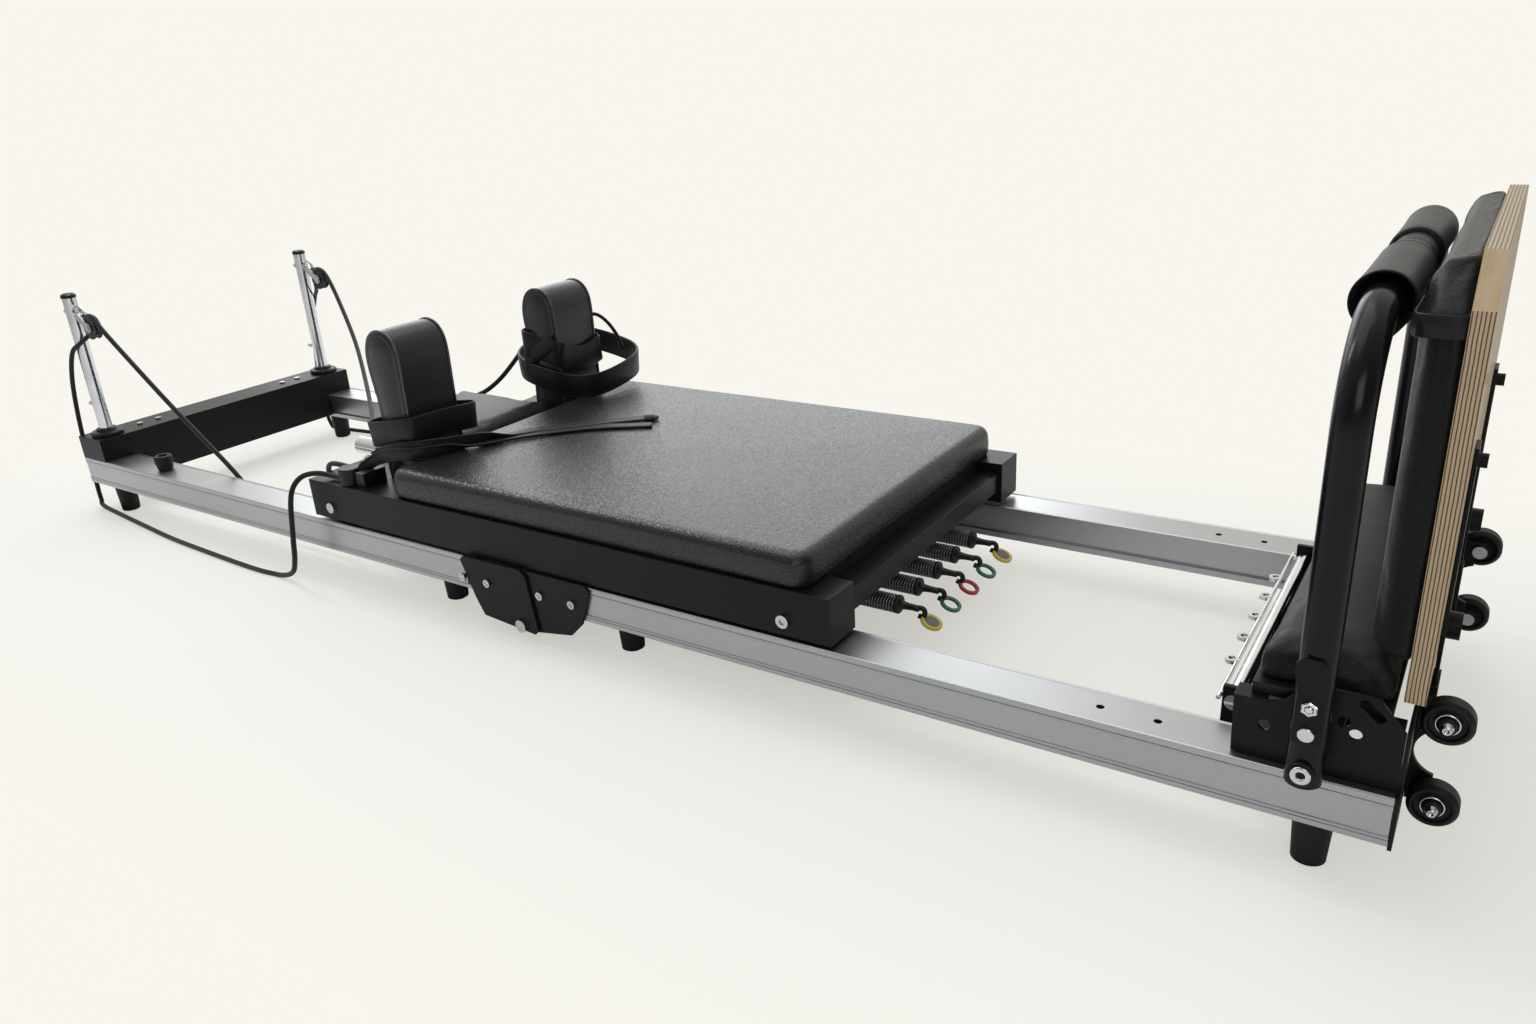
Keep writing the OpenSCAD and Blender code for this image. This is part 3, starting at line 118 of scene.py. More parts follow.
@dataclass
class MeshDraft:
    """Vertices, faces and texture places that grow piece by piece before they become one object.

    Attributes:
        verts: Places in metres.
        faces: Faces as lists of vertex numbers.
        uvs: A texture place for each corner of each face.
    """

    verts: list[Vector] = field(default_factory=list)
    faces: list[list[int]] = field(default_factory=list)
    uvs: list[list[Pair]] = field(default_factory=list)

    def loft(
        self,
        rings: Sequence[Line],
        closed: bool = True,
        looped: bool = False,
        caps: bool = True,
        uv_of: Callable[[int, int], Pair] | None = None,
    ) -> None:
        """Joins rings of points into a skin.

        Args:
            rings: Rings with the same number of points.
            closed: Whether each ring runs round to its start.
            looped: Whether the last ring joins the first.
            caps: Whether the two ends are closed with a face.
            uv_of: Texture place from ring number and point number.
        """
        start, sides, count = len(self.verts), len(rings[0]), len(rings)
        for ring in rings:
            self.verts.extend(ring)
        place = uv_of or (lambda i, s: (s / sides, i / max(1, count - 1)))
        spans = sides if closed else sides - 1
        for i in range(count if looped else count - 1):
            here, there = start + i * sides, start + (i + 1) % count * sides
            for s in range(spans):
                t = (s + 1) % sides
                self.faces.append([here + s, here + t, there + t, there + s])
                self.uvs.append([place(i, s), place(i, s + 1), place(i + 1, s + 1), place(i + 1, s)])
        if caps and not looped:
            first = [start + s for s in reversed(range(sides))]
            last = [start + (count - 1) * sides + s for s in range(sides)]
            for face in (first, last):
                self.faces.append(face)
                self.uvs.append([(0.0, 0.0)] * len(face))

    def bridge(self, first: int, count: int, start: int, turned: bool = False) -> None:
        """Closes a flat ring with faces from side to side.

        Args:
            first: The number of the ring's first vertex.
            count: How many vertices the ring has.
            start: The ring's point at one end of its middle line.
            turned: Whether the faces look the other way.
        """
        for k in range((count - 1) // 2 + 1):
            a, b = start + k, start + k + 1
            c, d = start - k - 1, start - k
            face = []
            for number in (a, b, c, d):
                vertex = first + number % count
                if vertex not in face:
                    face.append(vertex)
            if len(face) < 3 or (k and b % count == d % count):
                continue
            self.faces.append(face[::-1] if turned else face)
            self.uvs.append([(0.0, 0.0)] * len(face))
            if (b - c) % count <= 1:
                break

    def tube(self, path: Line, radius: float, sides: int = 12, looped: bool = False) -> None:
        """A round tube along a path.

        Args:
            path: The centreline.
            radius: The tube's radius in metres.
            sides: Points round the tube.
            looped: Whether the path runs round to its start.
        """
        frames = carried_frames(path, looped)
        along = lengths_along(path)
        rings = [
            [p + radius * (math.cos(t) * u + math.sin(t) * v) for t in round_turn(sides)]
            for p, (u, v) in zip(path, frames, strict=True)
        ]
        turn = 2 * math.pi * radius
        ends = [*along, along[-1] + (path[0] - path[-1]).length]
        self.loft(rings, looped=looped, uv_of=lambda i, s: (turn * s / sides, ends[min(i, len(ends) - 1)]))

    def band(
        self, path: Line, ups: Line, width: float, thick: float, looped: bool = False
    ) -> None:
        """A flat band with rounded edges along a path.

        Args:
            path: The band's middle line.
            ups: The direction across the band's width at each point.
            width: The width in metres.
            thick: The thickness in metres.
            looped: Whether the path runs round to its start.
        """
        along = lengths_along(path)
        along.append(along[-1] + (path[0] - path[-1]).length)
        rings, count = [], len(path)
        for i, p in enumerate(path):
            before, after = path[(i - 1) % count], path[(i + 1) % count]
            if not looped:
                before, after = path[max(i - 1, 0)], path[min(i + 1, count - 1)]
            ahead = (after - before).normalized()
            up = (ups[i] - ups[i].dot(ahead) * ahead).normalized()
            out = ahead.cross(up)
            w, t = width / 2, thick / 2
            inset, rise = 0.3 * t, 0.7 * t
            section = [(-w + t, -t), (w - t, -t), (w - inset, -rise), (w, 0), (w - inset, rise)]
            section += [(w - t, t), (-w + t, t), (-w + inset, rise), (-w, 0), (-w + inset, -rise)]
            rings.append([p + a * up + b * out for a, b in section])
        across = [0.0, 1.0, 1.0, 1.0, 1.0, 1.0, 0.0, 0.0, 0.0, 0.0, 0.0]
        self.loft(rings, looped=looped, uv_of=lambda i, s: (across[s] * width, along[min(i, count)]))

    def turned(
        self, centre: Vector, axis: Axis, profile: Sequence[Pair], sides: int = 48
    ) -> None:
        """A piece turned about an axis.

        Args:
            centre: The place on the axis that the profile is counted from.
            axis: The axis.
            profile: Pairs of a place along the axis and a radius, in metres.
            sides: Points round the piece.
        """
        across = [(1, 2), (2, 0), (0, 1)][axis.value]
        rings = []
        for along, radius in profile:
            ring = []
            for t in round_turn(sides):
                p = centre.copy()
                p[axis.value] += along
                p[across[0]] += radius * math.cos(t)
                p[across[1]] += radius * math.sin(t)
                ring.append(p)
            rings.append(ring)
        self.loft(rings)

    def build(self, name: str, finish: "Finish", soften: int = 0, smooth: bool = True) -> Piece:
        """Makes the object.

        Args:
            name: The object's name.
            finish: Its finish.
            soften: Levels of subdivision to apply.
            smooth: Whether its faces shade smoothly.

        Returns:
            The new object, at the origin.
        """
        mesh = bpy.data.meshes.new(name)
        mesh.from_pydata([tuple(v) for v in self.verts], [], self.faces)
        layer = mesh.uv_layers.new(name="UVMap")
        flat = [place for face in self.uvs for place in face]
        for loop, place in zip(layer.data, flat, strict=True):
            loop.uv = place
        for polygon in mesh.polygons:
            polygon.use_smooth = smooth
        made = bpy.data.objects.new(name, mesh)
        bpy.context.scene.collection.objects.link(made)
        made.data.materials.append(finish.material())
        if soften:
            step = made.modifiers.new("soften", "SUBSURF")
            step.levels = step.render_levels = soften
        return made


def round_turn(count: int) -> list[float]:
    """Angles evenly round one full turn."""
    return [2 * math.pi * k / count for k in range(count)]


def lengths_along(path: Line) -> list[float]:
    """The length of the path up to each of its points.

    Args:
        path: The points of the path.

    Returns:
        A length for each point, in metres.
    """
    made = [0.0]
    for a, b in zip(path, path[1:]):
        made.append(made[-1] + (b - a).length)
    return made


def carried_frames(path: Line, looped: bool = False) -> list[tuple[Vector, Vector]]:
    """Two directions square to the path at each point, carried along without twist.

    Args:
        path: The points of the path.
        looped: Whether the path runs round to its start.

    Returns:
        A pair of unit vectors for each point.
    """
    count, made, u = len(path), [], None
    for i in range(count):
        before, after = path[max(i - 1, 0)], path[min(i + 1, count - 1)]
        if looped:
            before, after = path[(i - 1) % count], path[(i + 1) % count]
        ahead = (after - before).normalized()
        if u is None:
            u = ahead.orthogonal()
        u = (u - u.dot(ahead) * ahead).normalized()
        made.append((u, ahead.cross(u)))
    return made


def smoothed(points: Line, steps: int, looped: bool = False) -> list[Vector]:
    """A smooth line through points.

    Args:
        points: The points to pass through.
        steps: Points made for each span.
        looped: Whether the line runs round to its start.

    Returns:
        The points of the smooth line.
    """
    count, made = len(points), []
    for i in range(count if looped else count - 1):
        if looped:
            p = [points[(i + k) % count] for k in (-1, 0, 1, 2)]
        else:
            p = [points[min(max(i + k, 0), count - 1)] for k in (-1, 0, 1, 2)]
        for s in range(steps):
            t = s / steps
            made.append(
                0.5
                * (
                    2 * p[1]
                    + (p[2] - p[0]) * t
                    + (2 * p[0] - 5 * p[1] + 4 * p[2] - p[3]) * t * t
                    + (3 * p[1] - p[0] - 3 * p[2] + p[3]) * t**3
                )
            )
    if not looped:
        made.append(points[-1].copy())
    return made


# Finishes


class Graph:
    """A node tree with short calls that add and join nodes."""

    def __init__(self, tree: Tree) -> None:
        """Keeps the tree."""
        self.tree = tree

    def add(self, kind: str, inputs: dict[str | int, Any] | None = None, **settings: Any) -> Node:
        """Adds a node.

        Args:
            kind: The node's type name.
            inputs: Values or sockets for its inputs, by name or number.
            **settings: Properties of the node.

        Returns:
            The new node.
        """
        made = self.tree.nodes.new(kind)
        for key, value in settings.items():
            setattr(made, key, value)
        for key, value in (inputs or {}).items():
            self.put(made, key, value)
        return made

    def put(self, node: Node, key: str | int, value: Any) -> None:
        """Joins a socket to a node's input, or sets the input's value.

        Args:
            node: The node.
            key: The input's name or number.
            value: The socket or the value.
        """
        if isinstance(value, Socket):
            self.tree.links.new(value, node.inputs[key])
        else:
            node.inputs[key].default_value = value

    def math(self, operation: str, a: Any, b: Any = 0.0, clamp: bool = False) -> Socket:
        """The result of a sum on two values or sockets."""
        return self.add("ShaderNodeMath", {0: a, 1: b}, operation=operation, use_clamp=clamp).outputs[0]

    def blend(self, share: Any, a: Any, b: Any) -> Socket:
        """A colour between two, by a share."""
        return self.add("ShaderNodeMix", {0: share, 6: a, 7: b}, data_type="RGBA").outputs[2]

    def stretch(
        self, value: Any, low: float, high: float, to_low: float = 0.0, to_high: float = 1.0
    ) -> Socket:
        """A value moved from one range to another and kept inside it."""
        return self.add("ShaderNodeMapRange", {0: value, 1: low, 2: high, 3: to_low, 4: to_high}).outputs[0]

    def place(self) -> Socket:
        """The place on the piece, in metres."""
        return self.add("ShaderNodeTexCoord").outputs["Object"]

    def scaled(self, place: Any, scale: Point) -> Socket:
        """A place stretched by a scale for each axis."""
        return self.add("ShaderNodeMapping", {"Vector": place, "Scale": scale}).outputs[0]

    def mottle(self, place: Any, scale: Any, detail: float) -> Socket:
        """A smooth random value over a place."""
        return self.add("ShaderNodeTexNoise", {"Vector": place, "Scale": scale, "Detail": detail}).outputs[0]


def clouding(graph: Graph, given: Node, out: Node) -> None:
    """Slow changes of shade over a surface, and a finer layer of dust.

    Args:
        graph: The group's graph.
        given: Its input node.
        out: Its output node.
    """
    place = graph.place()
    slow = graph.mottle(place, given.outputs["Size"], 4.0)
    fast = graph.math("MULTIPLY", given.outputs["Size"], 14.0)
    specks = {"Vector": place, "Scale": fast, "Detail": 6.0, "Roughness": 0.7}
    dust = graph.add("ShaderNodeTexNoise", specks).outputs[0]
    graph.put(out, "Shade", graph.stretch(slow, 0.3, 0.7))
    graph.put(out, "Dust", graph.stretch(dust, 0.52, 0.75))


def edge_rub(graph: Graph, given: Node, out: Node) -> None:
    """A mask of the edges that hands and floors rub.

    Args:
        graph: The group's graph.
        given: Its input node.
        out: Its output node.
    """
    place = graph.place()
    plain = graph.add("ShaderNodeNewGeometry").outputs["Normal"]
    rounded = graph.add("ShaderNodeBevel", {"Radius": 0.0014}, samples=3).outputs[0]
    turned = graph.add("ShaderNodeVectorMath", {0: plain, 1: rounded}, operation="DOT_PRODUCT")
    patch = graph.mottle(place, 38.0, 5.0)
    edge = graph.stretch(turned.outputs["Value"], 0.995, 0.88)
    spots = graph.stretch(patch, 0.42, 0.62, 0.15)
    worn = graph.math("MULTIPLY", edge, spots)
    graph.put(out, "Mask", graph.math("MULTIPLY", worn, given.outputs["Amount"], clamp=True))


def hide_grain(graph: Graph, given: Node, out: Node) -> None:
    """The pebbled grain of upholstery vinyl.

    Args:
        graph: The group's graph.
        given: Its input node.
        out: Its output node.
    """
    place = graph.place()
    wander = graph.add("ShaderNodeTexNoise", {"Vector": place, "Scale": 210.0, "Detail": 3.0})
    far = {0: wander.outputs[1], 1: (0.0012,) * 3}
    nudge = graph.add("ShaderNodeVectorMath", far, operation="MULTIPLY").outputs[0]
    bent = graph.add("ShaderNodeVectorMath", {0: place, 1: nudge}, operation="ADD").outputs[0]
    cells = graph.add("ShaderNodeTexVoronoi", {"Vector": bent, "Scale": given.outputs["Fineness"]})
    cells.feature = "DISTANCE_TO_EDGE"
    pebble = graph.stretch(cells.outputs["Distance"], 0.0, 0.22)
    creases = graph.mottle(bent, 60.0, 8.0)
    hills = graph.math("MULTIPLY", pebble, 0.55)
    graph.put(out, "Height", graph.math("ADD", hills, graph.math("MULTIPLY", creases, 0.6)))
    graph.put(out, "Pores", graph.math("SUBTRACT", 1.0, pebble))


def drawn_lines(graph: Graph, given: Node, out: Node) -> None:
    """Fine lines along X, as extruding or brushing leaves them.

    Args:
        graph: The group's graph.
        given: Its input node.
        out: Its output node.
    """
    long_way = graph.scaled(graph.place(), (0.6, 1.0, 1.0))
    fine = graph.mottle(long_way, given.outputs["Fineness"], 3.0)
    graph.put(out, "Height", fine)
    graph.put(out, "Streak", graph.stretch(fine, 0.35, 0.65))


def weave(graph: Graph, given: Node, out: Node) -> None:
    """Crossing threads, by the piece's own length and width, with a mask of the gaps between them for painted
    shade.

    Args:
        graph: The group's graph.
        given: Its input node.
        out: Its output node.
    """
    place = graph.add("ShaderNodeTexCoord").outputs["UV"]
    parts = graph.add("ShaderNodeSeparateXYZ", {0: place})
    turn = graph.math("MULTIPLY", given.outputs["Threads per metre"], 2 * math.pi)
    slant = graph.math("MULTIPLY", parts.outputs[1], given.outputs["Slant"])
    one = graph.math("ADD", parts.outputs[0], slant)
    other = graph.math("SUBTRACT", parts.outputs[0], slant)
    wave_a = graph.math("SINE", graph.math("MULTIPLY", one, turn))
    wave_b = graph.math("SINE", graph.math("MULTIPLY", other, turn))
    both = graph.math("MULTIPLY", wave_a, wave_b)
    graph.put(out, "Height", graph.stretch(both, -1.0, 1.0))
    # The mask of the gaps between threads, which the finish paints darker as painted shade
    graph.put(out, "Gap", graph.stretch(both, -0.9, -0.2, 1.0, 0.0))


class Effect(Enum):
    """Node groups that several finishes use: for each its inputs, its outputs and what fills it."""

    CLOUDING = ({"Size": 9.0}, ("Shade", "Dust"), clouding)
    EDGE_RUB = ({"Amount": 0.5}, ("Mask",), edge_rub)
    HIDE_GRAIN = ({"Fineness": 620.0}, ("Height", "Pores"), hide_grain)
    DRAWN_LINES = ({"Fineness": 900.0}, ("Height", "Streak"), drawn_lines)
    WEAVE = ({"Threads per metre": 300.0, "Slant": 0.5}, ("Height", "Gap"), weave)

    def on(self, graph: Graph, inputs: dict[str, Any] | None = None) -> Node:
        """Adds the effect to a material, and builds its group on its first use.

        Args:
            graph: The material's graph.
            inputs: Values for the group's inputs, where they aren't the first ones.

        Returns:
            The group's node.
        """
        name = self.name.lower()
        if name not in bpy.data.node_groups:
            firsts, outputs, fill = self.value
            tree = bpy.data.node_groups.new(name, "ShaderNodeTree")
            for key, value in firsts.items():
                socket = tree.interface.new_socket(key, in_out="INPUT", socket_type="NodeSocketFloat")
                socket.default_value = value
            for key in outputs:
                tree.interface.new_socket(key, in_out="OUTPUT", socket_type="NodeSocketFloat")
            inside = Graph(tree)
            fill(inside, inside.add("NodeGroupInput"), inside.add("NodeGroupOutput"))
        return graph.add("ShaderNodeGroup", inputs, node_tree=bpy.data.node_groups[name])


# Linear colours that lie on the finishes' own: dust, the metal under a rubbed coat, and dust on aluminium
DUST = (0.32, 0.31, 0.29, 1.0)
RUBBED_COAT = (0.09, 0.09, 0.095, 1.0)
METAL_DUST = (0.3, 0.3, 0.3, 1.0)


@dataclass(frozen=True)
class Finish:
    """A finish of the machine.

    Attributes:
        name: The material's name.
        colour: Its linear colour.
        roughness: Its roughness.
        level: Its specular level.
    """

    name: str
    colour: Point
    roughness: float = 0.5
    level: float = 0.5

    def material(self) -> Material:
        """The finish's material, made on its first use.

        Returns:
            The material.
        """
        title = f"finish_{self.name}"
        found = bpy.data.materials.get(title)
        if found:
            return found
        made = bpy.data.materials.new(title)
        made.use_nodes = True
        graph = Graph(made.node_tree)
        shader = made.node_tree.nodes["Principled BSDF"]
        shader.inputs["Base Color"].default_value = self.toned()
        shader.inputs["Roughness"].default_value = self.roughness
        shader.inputs["Specular IOR Level"].default_value = self.level
        self.dress(graph, shader)
        made.diffuse_color = self.toned()
        return made

    def toned(
        self, red: float = 1.0, green: float | None = None, blue: float | None = None
    ) -> tuple[float, ...]:
        """The finish's colour times one factor, or one for each channel.

        Args:
            red: The factor for red, and for the others where they have none.
            green: The factor for green.
            blue: The factor for blue.

        Returns:
            The colour with its alpha.
        """
        factors = (red, red if green is None else green, red if blue is None else blue)
        return (*[c * f for c, f in zip(self.colour, factors, strict=True)], 1.0)

    def dress(self, graph: Graph, shader: Node) -> None:
        """Adds the detail of the finish: each kind of finish has its own."""

    def shaded(
        self, graph: Graph, shader: Node, darker: float, dusty: float, size: float = 9.0
    ) -> tuple[Any, Any]:
        """Varies the colour by slow clouding and dust.

        Args:
            graph: The material's graph.
            shader: Its shader.
            darker: The darkest shade as a share of the colour.
            dusty: How much pale dust lies on it.
            size: The clouding's fineness.

        Returns:
            The colour's socket and the dust mask's socket.
        """
        cloud = Effect.CLOUDING.on(graph, {"Size": size})
        tone = graph.blend(cloud.outputs["Shade"], self.toned(darker), self.toned())
        film = graph.math("MULTIPLY", cloud.outputs["Dust"], dusty)
        tone = graph.blend(film, tone, DUST)
        graph.put(shader, "Base Color", tone)
        return tone, cloud.outputs["Dust"]

    def raised(
        self,
        graph: Graph,
        shader: Node,
        height: Any,
        depth: float,
        strength: float = 1.0,
        eased: float = 0.0,
    ) -> None:
        """Feeds a height into the shader's normal.

        Args:
            graph: The material's graph.
            shader: Its shader.
            height: The height's socket.
            depth: What a height of 1 stands for, in metres.
            strength: How strongly it counts.
            eased: The radius that edges look rounded by, in metres.
        """
        bump = graph.add("ShaderNodeBump", {"Height": height, "Distance": depth, "Strength": strength})
        if eased:
            rounded = graph.add("ShaderNodeBevel", {"Radius": eased}, samples=6)
            graph.put(bump, "Normal", rounded.outputs[0])
        graph.put(shader, "Normal", bump.outputs[0])

    def roughened(self, graph: Graph, shader: Node, mask: Any, amount: float) -> None:
        """Makes the finish rougher where a mask is bright."""
        more = graph.math("MULTIPLY", mask, amount)
        graph.put(shader, "Roughness", graph.math("ADD", more, self.roughness))


@dataclass(frozen=True)
class Extrusion(Finish):
    """Satin anodised aluminium with its drawing lines."""

    def dress(self, graph: Graph, shader: Node) -> None:
        """Adds the metal, its lines and a little dust.

        Args:
            graph: The material's graph.
            shader: Its shader.
        """
        shader.inputs["Metallic"].default_value = 1.0
        lines = Effect.DRAWN_LINES.on(graph)
        cloud = Effect.CLOUDING.on(graph, {"Size": 5.0})
        tone = graph.blend(lines.outputs["Streak"], self.toned(0.93), self.toned())
        tone = graph.blend(graph.math("MULTIPLY", cloud.outputs["Dust"], 0.05), tone, METAL_DUST)
        graph.put(shader, "Base Color", tone)
        self.roughened(graph, shader, cloud.outputs["Shade"], 0.06)
        self.raised(graph, shader, lines.outputs["Height"], 0.00002, 0.15, eased=0.0012)


@dataclass(frozen=True)
class PowderCoat(Finish):
    """Black powder coat with a fine orange peel and rubbed edges."""

    def dress(self, graph: Graph, shader: Node) -> None:
        """Adds the coat, its peel and its edges.

        Args:
            graph: The material's graph.
            shader: Its shader.
        """
        tone, dust = self.shaded(graph, shader, 0.86, 0.004)
        rub = Effect.EDGE_RUB.on(graph, {"Amount": 0.35})
        graph.put(shader, "Base Color", graph.blend(rub.outputs["Mask"], tone, RUBBED_COAT))
        self.roughened(graph, shader, dust, 0.04)
        peel = graph.mottle(graph.place(), 900.0, 2.0)
        self.raised(graph, shader, peel, 0.00008, 0.3, eased=0.0018)


@dataclass(frozen=True)
class Plated(Finish):
    """Chrome or zinc plate with faint smears."""

    def dress(self, graph: Graph, shader: Node) -> None:
        """Adds the metal and its smears.

        Args:
            graph: The material's graph.
            shader: Its shader.
        """
        shader.inputs["Metallic"].default_value = 1.0
        cloud = Effect.CLOUDING.on(graph, {"Size": 22.0})
        graph.put(shader, "Base Color", graph.blend(cloud.outputs["Shade"], self.toned(0.82), self.toned()))
        self.roughened(graph, shader, cloud.outputs["Dust"], 0.18)


@dataclass(frozen=True)
class Vinyl(Finish):
    """Black upholstery vinyl with a pebbled grain.

    Attributes:
        depth: The grain's depth in metres.
        fineness: Pebbles in a metre.
    """

    depth: float = 0.00022
    fineness: float = 620.0

    def dress(self, graph: Graph, shader: Node) -> None:
        """Adds the grain, its pores painted darker as painted shade, a film of dust and the sheen of its
        tops.

        Args:
            graph: The material's graph.
            shader: Its shader.
        """
        tone, dust = self.shaded(graph, shader, 0.8, 0.005, 6.0)
        grain = Effect.HIDE_GRAIN.on(graph, {"Fineness": self.fineness})
        # The grain's pores are painted darker: painted shade in its hollows
        pores = graph.math("MULTIPLY", grain.outputs["Pores"], 0.6)
        graph.put(shader, "Base Color", graph.blend(pores, tone, self.toned(0.45)))
        rough = graph.math("ADD", graph.math("MULTIPLY", grain.outputs["Pores"], 0.12), self.roughness)
        graph.put(shader, "Roughness", graph.math("ADD", graph.math("MULTIPLY", dust, 0.03), rough))
        shader.inputs["Sheen Weight"].default_value = 0.03
        self.raised(graph, shader, grain.outputs["Height"], self.depth, 0.6)


@dataclass(frozen=True)
class Moulded(Finish):
    """Moulded plastic or rubber with a fine stipple.

    Attributes:
        stipple: The stipple's depth in metres.
    """

    stipple: float = 0.0001

    def dress(self, graph: Graph, shader: Node) -> None:
        """Adds the stipple and a little dust.

        Args:
            graph: The material's graph.
            shader: Its shader.
        """
        tone, dust = self.shaded(graph, shader, 0.82, 0.01, 12.0)
        rub = Effect.EDGE_RUB.on(graph, {"Amount": 0.2})
        pale = (*[min(1.0, c * 1.8 + 0.03) for c in self.colour], 1.0)
        graph.put(shader, "Base Color", graph.blend(rub.outputs["Mask"], tone, pale))
        self.roughened(graph, shader, dust, 0.1)
        dots = graph.mottle(graph.place(), 1400.0, 2.0)
        self.raised(graph, shader, dots, self.stipple, 0.5, eased=0.0012)


@dataclass(frozen=True)
class Plywood(Finish):
    """Lacquered birch plywood: veneer on its faces and plies on its edges.

    Attributes:
        ply: Thickness of one ply in metres.
        normal_axis: The axis that the plies are stacked along.
    """

    ply: float = 0.0014
    normal_axis: Axis = Axis.X

    def dress(self, graph: Graph, shader: Node) -> None:
        """Adds the veneer's grain, the plies and the lacquer.

        Args:
            graph: The material's graph.
            shader: Its shader.
        """
        place = graph.place()
        parts = graph.add("ShaderNodeSeparateXYZ", {0: place})
        facing = graph.add("ShaderNodeSeparateXYZ", {0: graph.add("ShaderNodeNewGeometry").outputs["Normal"]})
        flat = graph.math("GREATER_THAN", graph.math("ABSOLUTE", facing.outputs[self.normal_axis.value]), 0.6)
        growth = {"Vector": graph.scaled(place, (8.0, 8.0, 0.7)), "Scale": 1.6, "Distortion": 9.0}
        growth |= {"Detail": 4.0, "Detail Scale": 1.4}
        rings = graph.add("ShaderNodeTexWave", growth).outputs[1]
        fibre = graph.mottle(graph.scaled(place, (1.0, 1.0, 0.03)), 700.0, 4.0)
        light = self.toned()
        warm = self.toned(0.82, 0.74, 0.62)
        veneer = graph.blend(graph.math("MULTIPLY", rings, 0.55), light, warm)
        veneer = graph.blend(graph.math("MULTIPLY", fibre, 0.4), veneer, warm)
        turn = graph.math("MULTIPLY", parts.outputs[self.normal_axis.value], math.pi / self.ply)
        wobble = graph.mottle(place, 30.0, 3.0)
        wave = graph.math("SINE", graph.math("ADD", turn, graph.math("MULTIPLY", wobble, 2.4)))
        plies = graph.stretch(wave, -0.75, -0.3)
        end_grain = self.toned(0.17, 0.11, 0.06)
        edge = graph.blend(plies, end_grain, light)
        edge = graph.blend(graph.math("MULTIPLY", fibre, 0.25), edge, end_grain)
        tilt = graph.math("MULTIPLY", *[graph.math("ABSOLUTE", facing.outputs[k]) for k in (1, 2)])
        slanted = graph.math("MULTIPLY", graph.stretch(tilt, 0.2, 0.4), 0.94)
        edge = graph.blend(slanted, edge, veneer)
        graph.put(shader, "Base Color", graph.blend(flat, edge, veneer))
        self.roughened(graph, shader, fibre, 0.2)
        shader.inputs["Coat Weight"].default_value = 0.15
        self.raised(graph, shader, graph.math("ADD", fibre, plies), 0.0001, 0.4)


@dataclass(frozen=True)
class Woven(Finish):
    """Braided cord or woven webbing.

    Attributes:
        threads: Threads in a metre across the piece.
        slant: How steeply the threads cross: 1 is a braid, less is a twill.
    """

    threads: float = 350.0
    slant: float = 1.0

    def dress(self, graph: Graph, shader: Node) -> None:
        """Adds the threads, the gaps between them painted darker as painted shade, and the fuzz on them.

        Args:
            graph: The material's graph.
            shader: Its shader.
        """
        tone, _ = self.shaded(graph, shader, 0.85, 0.008, 20.0)
        cloth = Effect.WEAVE.on(graph, {"Threads per metre": self.threads, "Slant": self.slant})
        # The gaps between the threads are painted darker: painted shade
        graph.put(shader, "Base Color", graph.blend(cloth.outputs["Gap"], tone, self.toned(0.3)))
        shader.inputs["Sheen Weight"].default_value = 0.25
        shader.inputs["Sheen Roughness"].default_value = 0.5
        self.raised(graph, shader, cloth.outputs["Height"], 0.0004, 0.7)


ALUMINIUM = Extrusion("satin_aluminium", (0.47, 0.475, 0.485), 0.32)
BLACK_STEEL = PowderCoat("black_powder_coat", (0.0058, 0.0062, 0.007), 0.36, 0.18)
TUBE_COAT = PowderCoat("satin_black_tube", (0.0052, 0.0056, 0.0062), 0.2, 0.22)
CHROME = Plated("polished_chrome", (0.78, 0.79, 0.8), 0.1)
ZINC = Plated("zinc_plated_steel", (0.62, 0.62, 0.61), 0.22)
VINYL = Vinyl("black_vinyl", (0.0115, 0.0127, 0.0148), 0.35, 0.36, depth=0.00026)
PAD_VINYL = Vinyl("pebbled_vinyl", (0.0115, 0.0127, 0.0148), 0.21, 0.5, depth=0.0007, fineness=260.0)
COARSE_VINYL = Vinyl("coarse_vinyl", (0.0095, 0.0105, 0.012), 0.33, 0.2, depth=0.0006, fineness=400.0)
SMOOTH_VINYL = Vinyl("smooth_vinyl", (0.0105, 0.0118, 0.014), 0.26, 0.5, depth=0.00012, fineness=700.0)
# The piping's vinyl is coloured lighter than the rests' own black vinyl: a painted highlight along the piping
WELT_PAINTED_HIGHLIGHT = Moulded("welt_vinyl", (0.03, 0.032, 0.036), 0.2, 0.9, stipple=0.00003)
THREAD = Moulded("black_thread", (0.012, 0.012, 0.013), 0.6, 0.3)
FOAM = Vinyl("foam_grip", (0.0085, 0.0095, 0.0105), 0.36, 0.22, depth=0.0003)
RUBBER = Moulded("black_rubber", (0.0068, 0.0068, 0.007), 0.5, 0.28)
PLASTIC = Moulded("black_plastic", (0.0075, 0.0078, 0.0084), 0.38, 0.32)
NYLON = Moulded("grey_nylon", (0.04, 0.04, 0.043), 0.45, 0.4)
BIRCH = Plywood("birch_plywood", (0.56, 0.42, 0.26), 0.42, 0.35, ply=0.0016)
BOARD = Plywood("black_stained_board", (0.014, 0.0125, 0.012), 0.6, 0.2, normal_axis=Axis.Z)
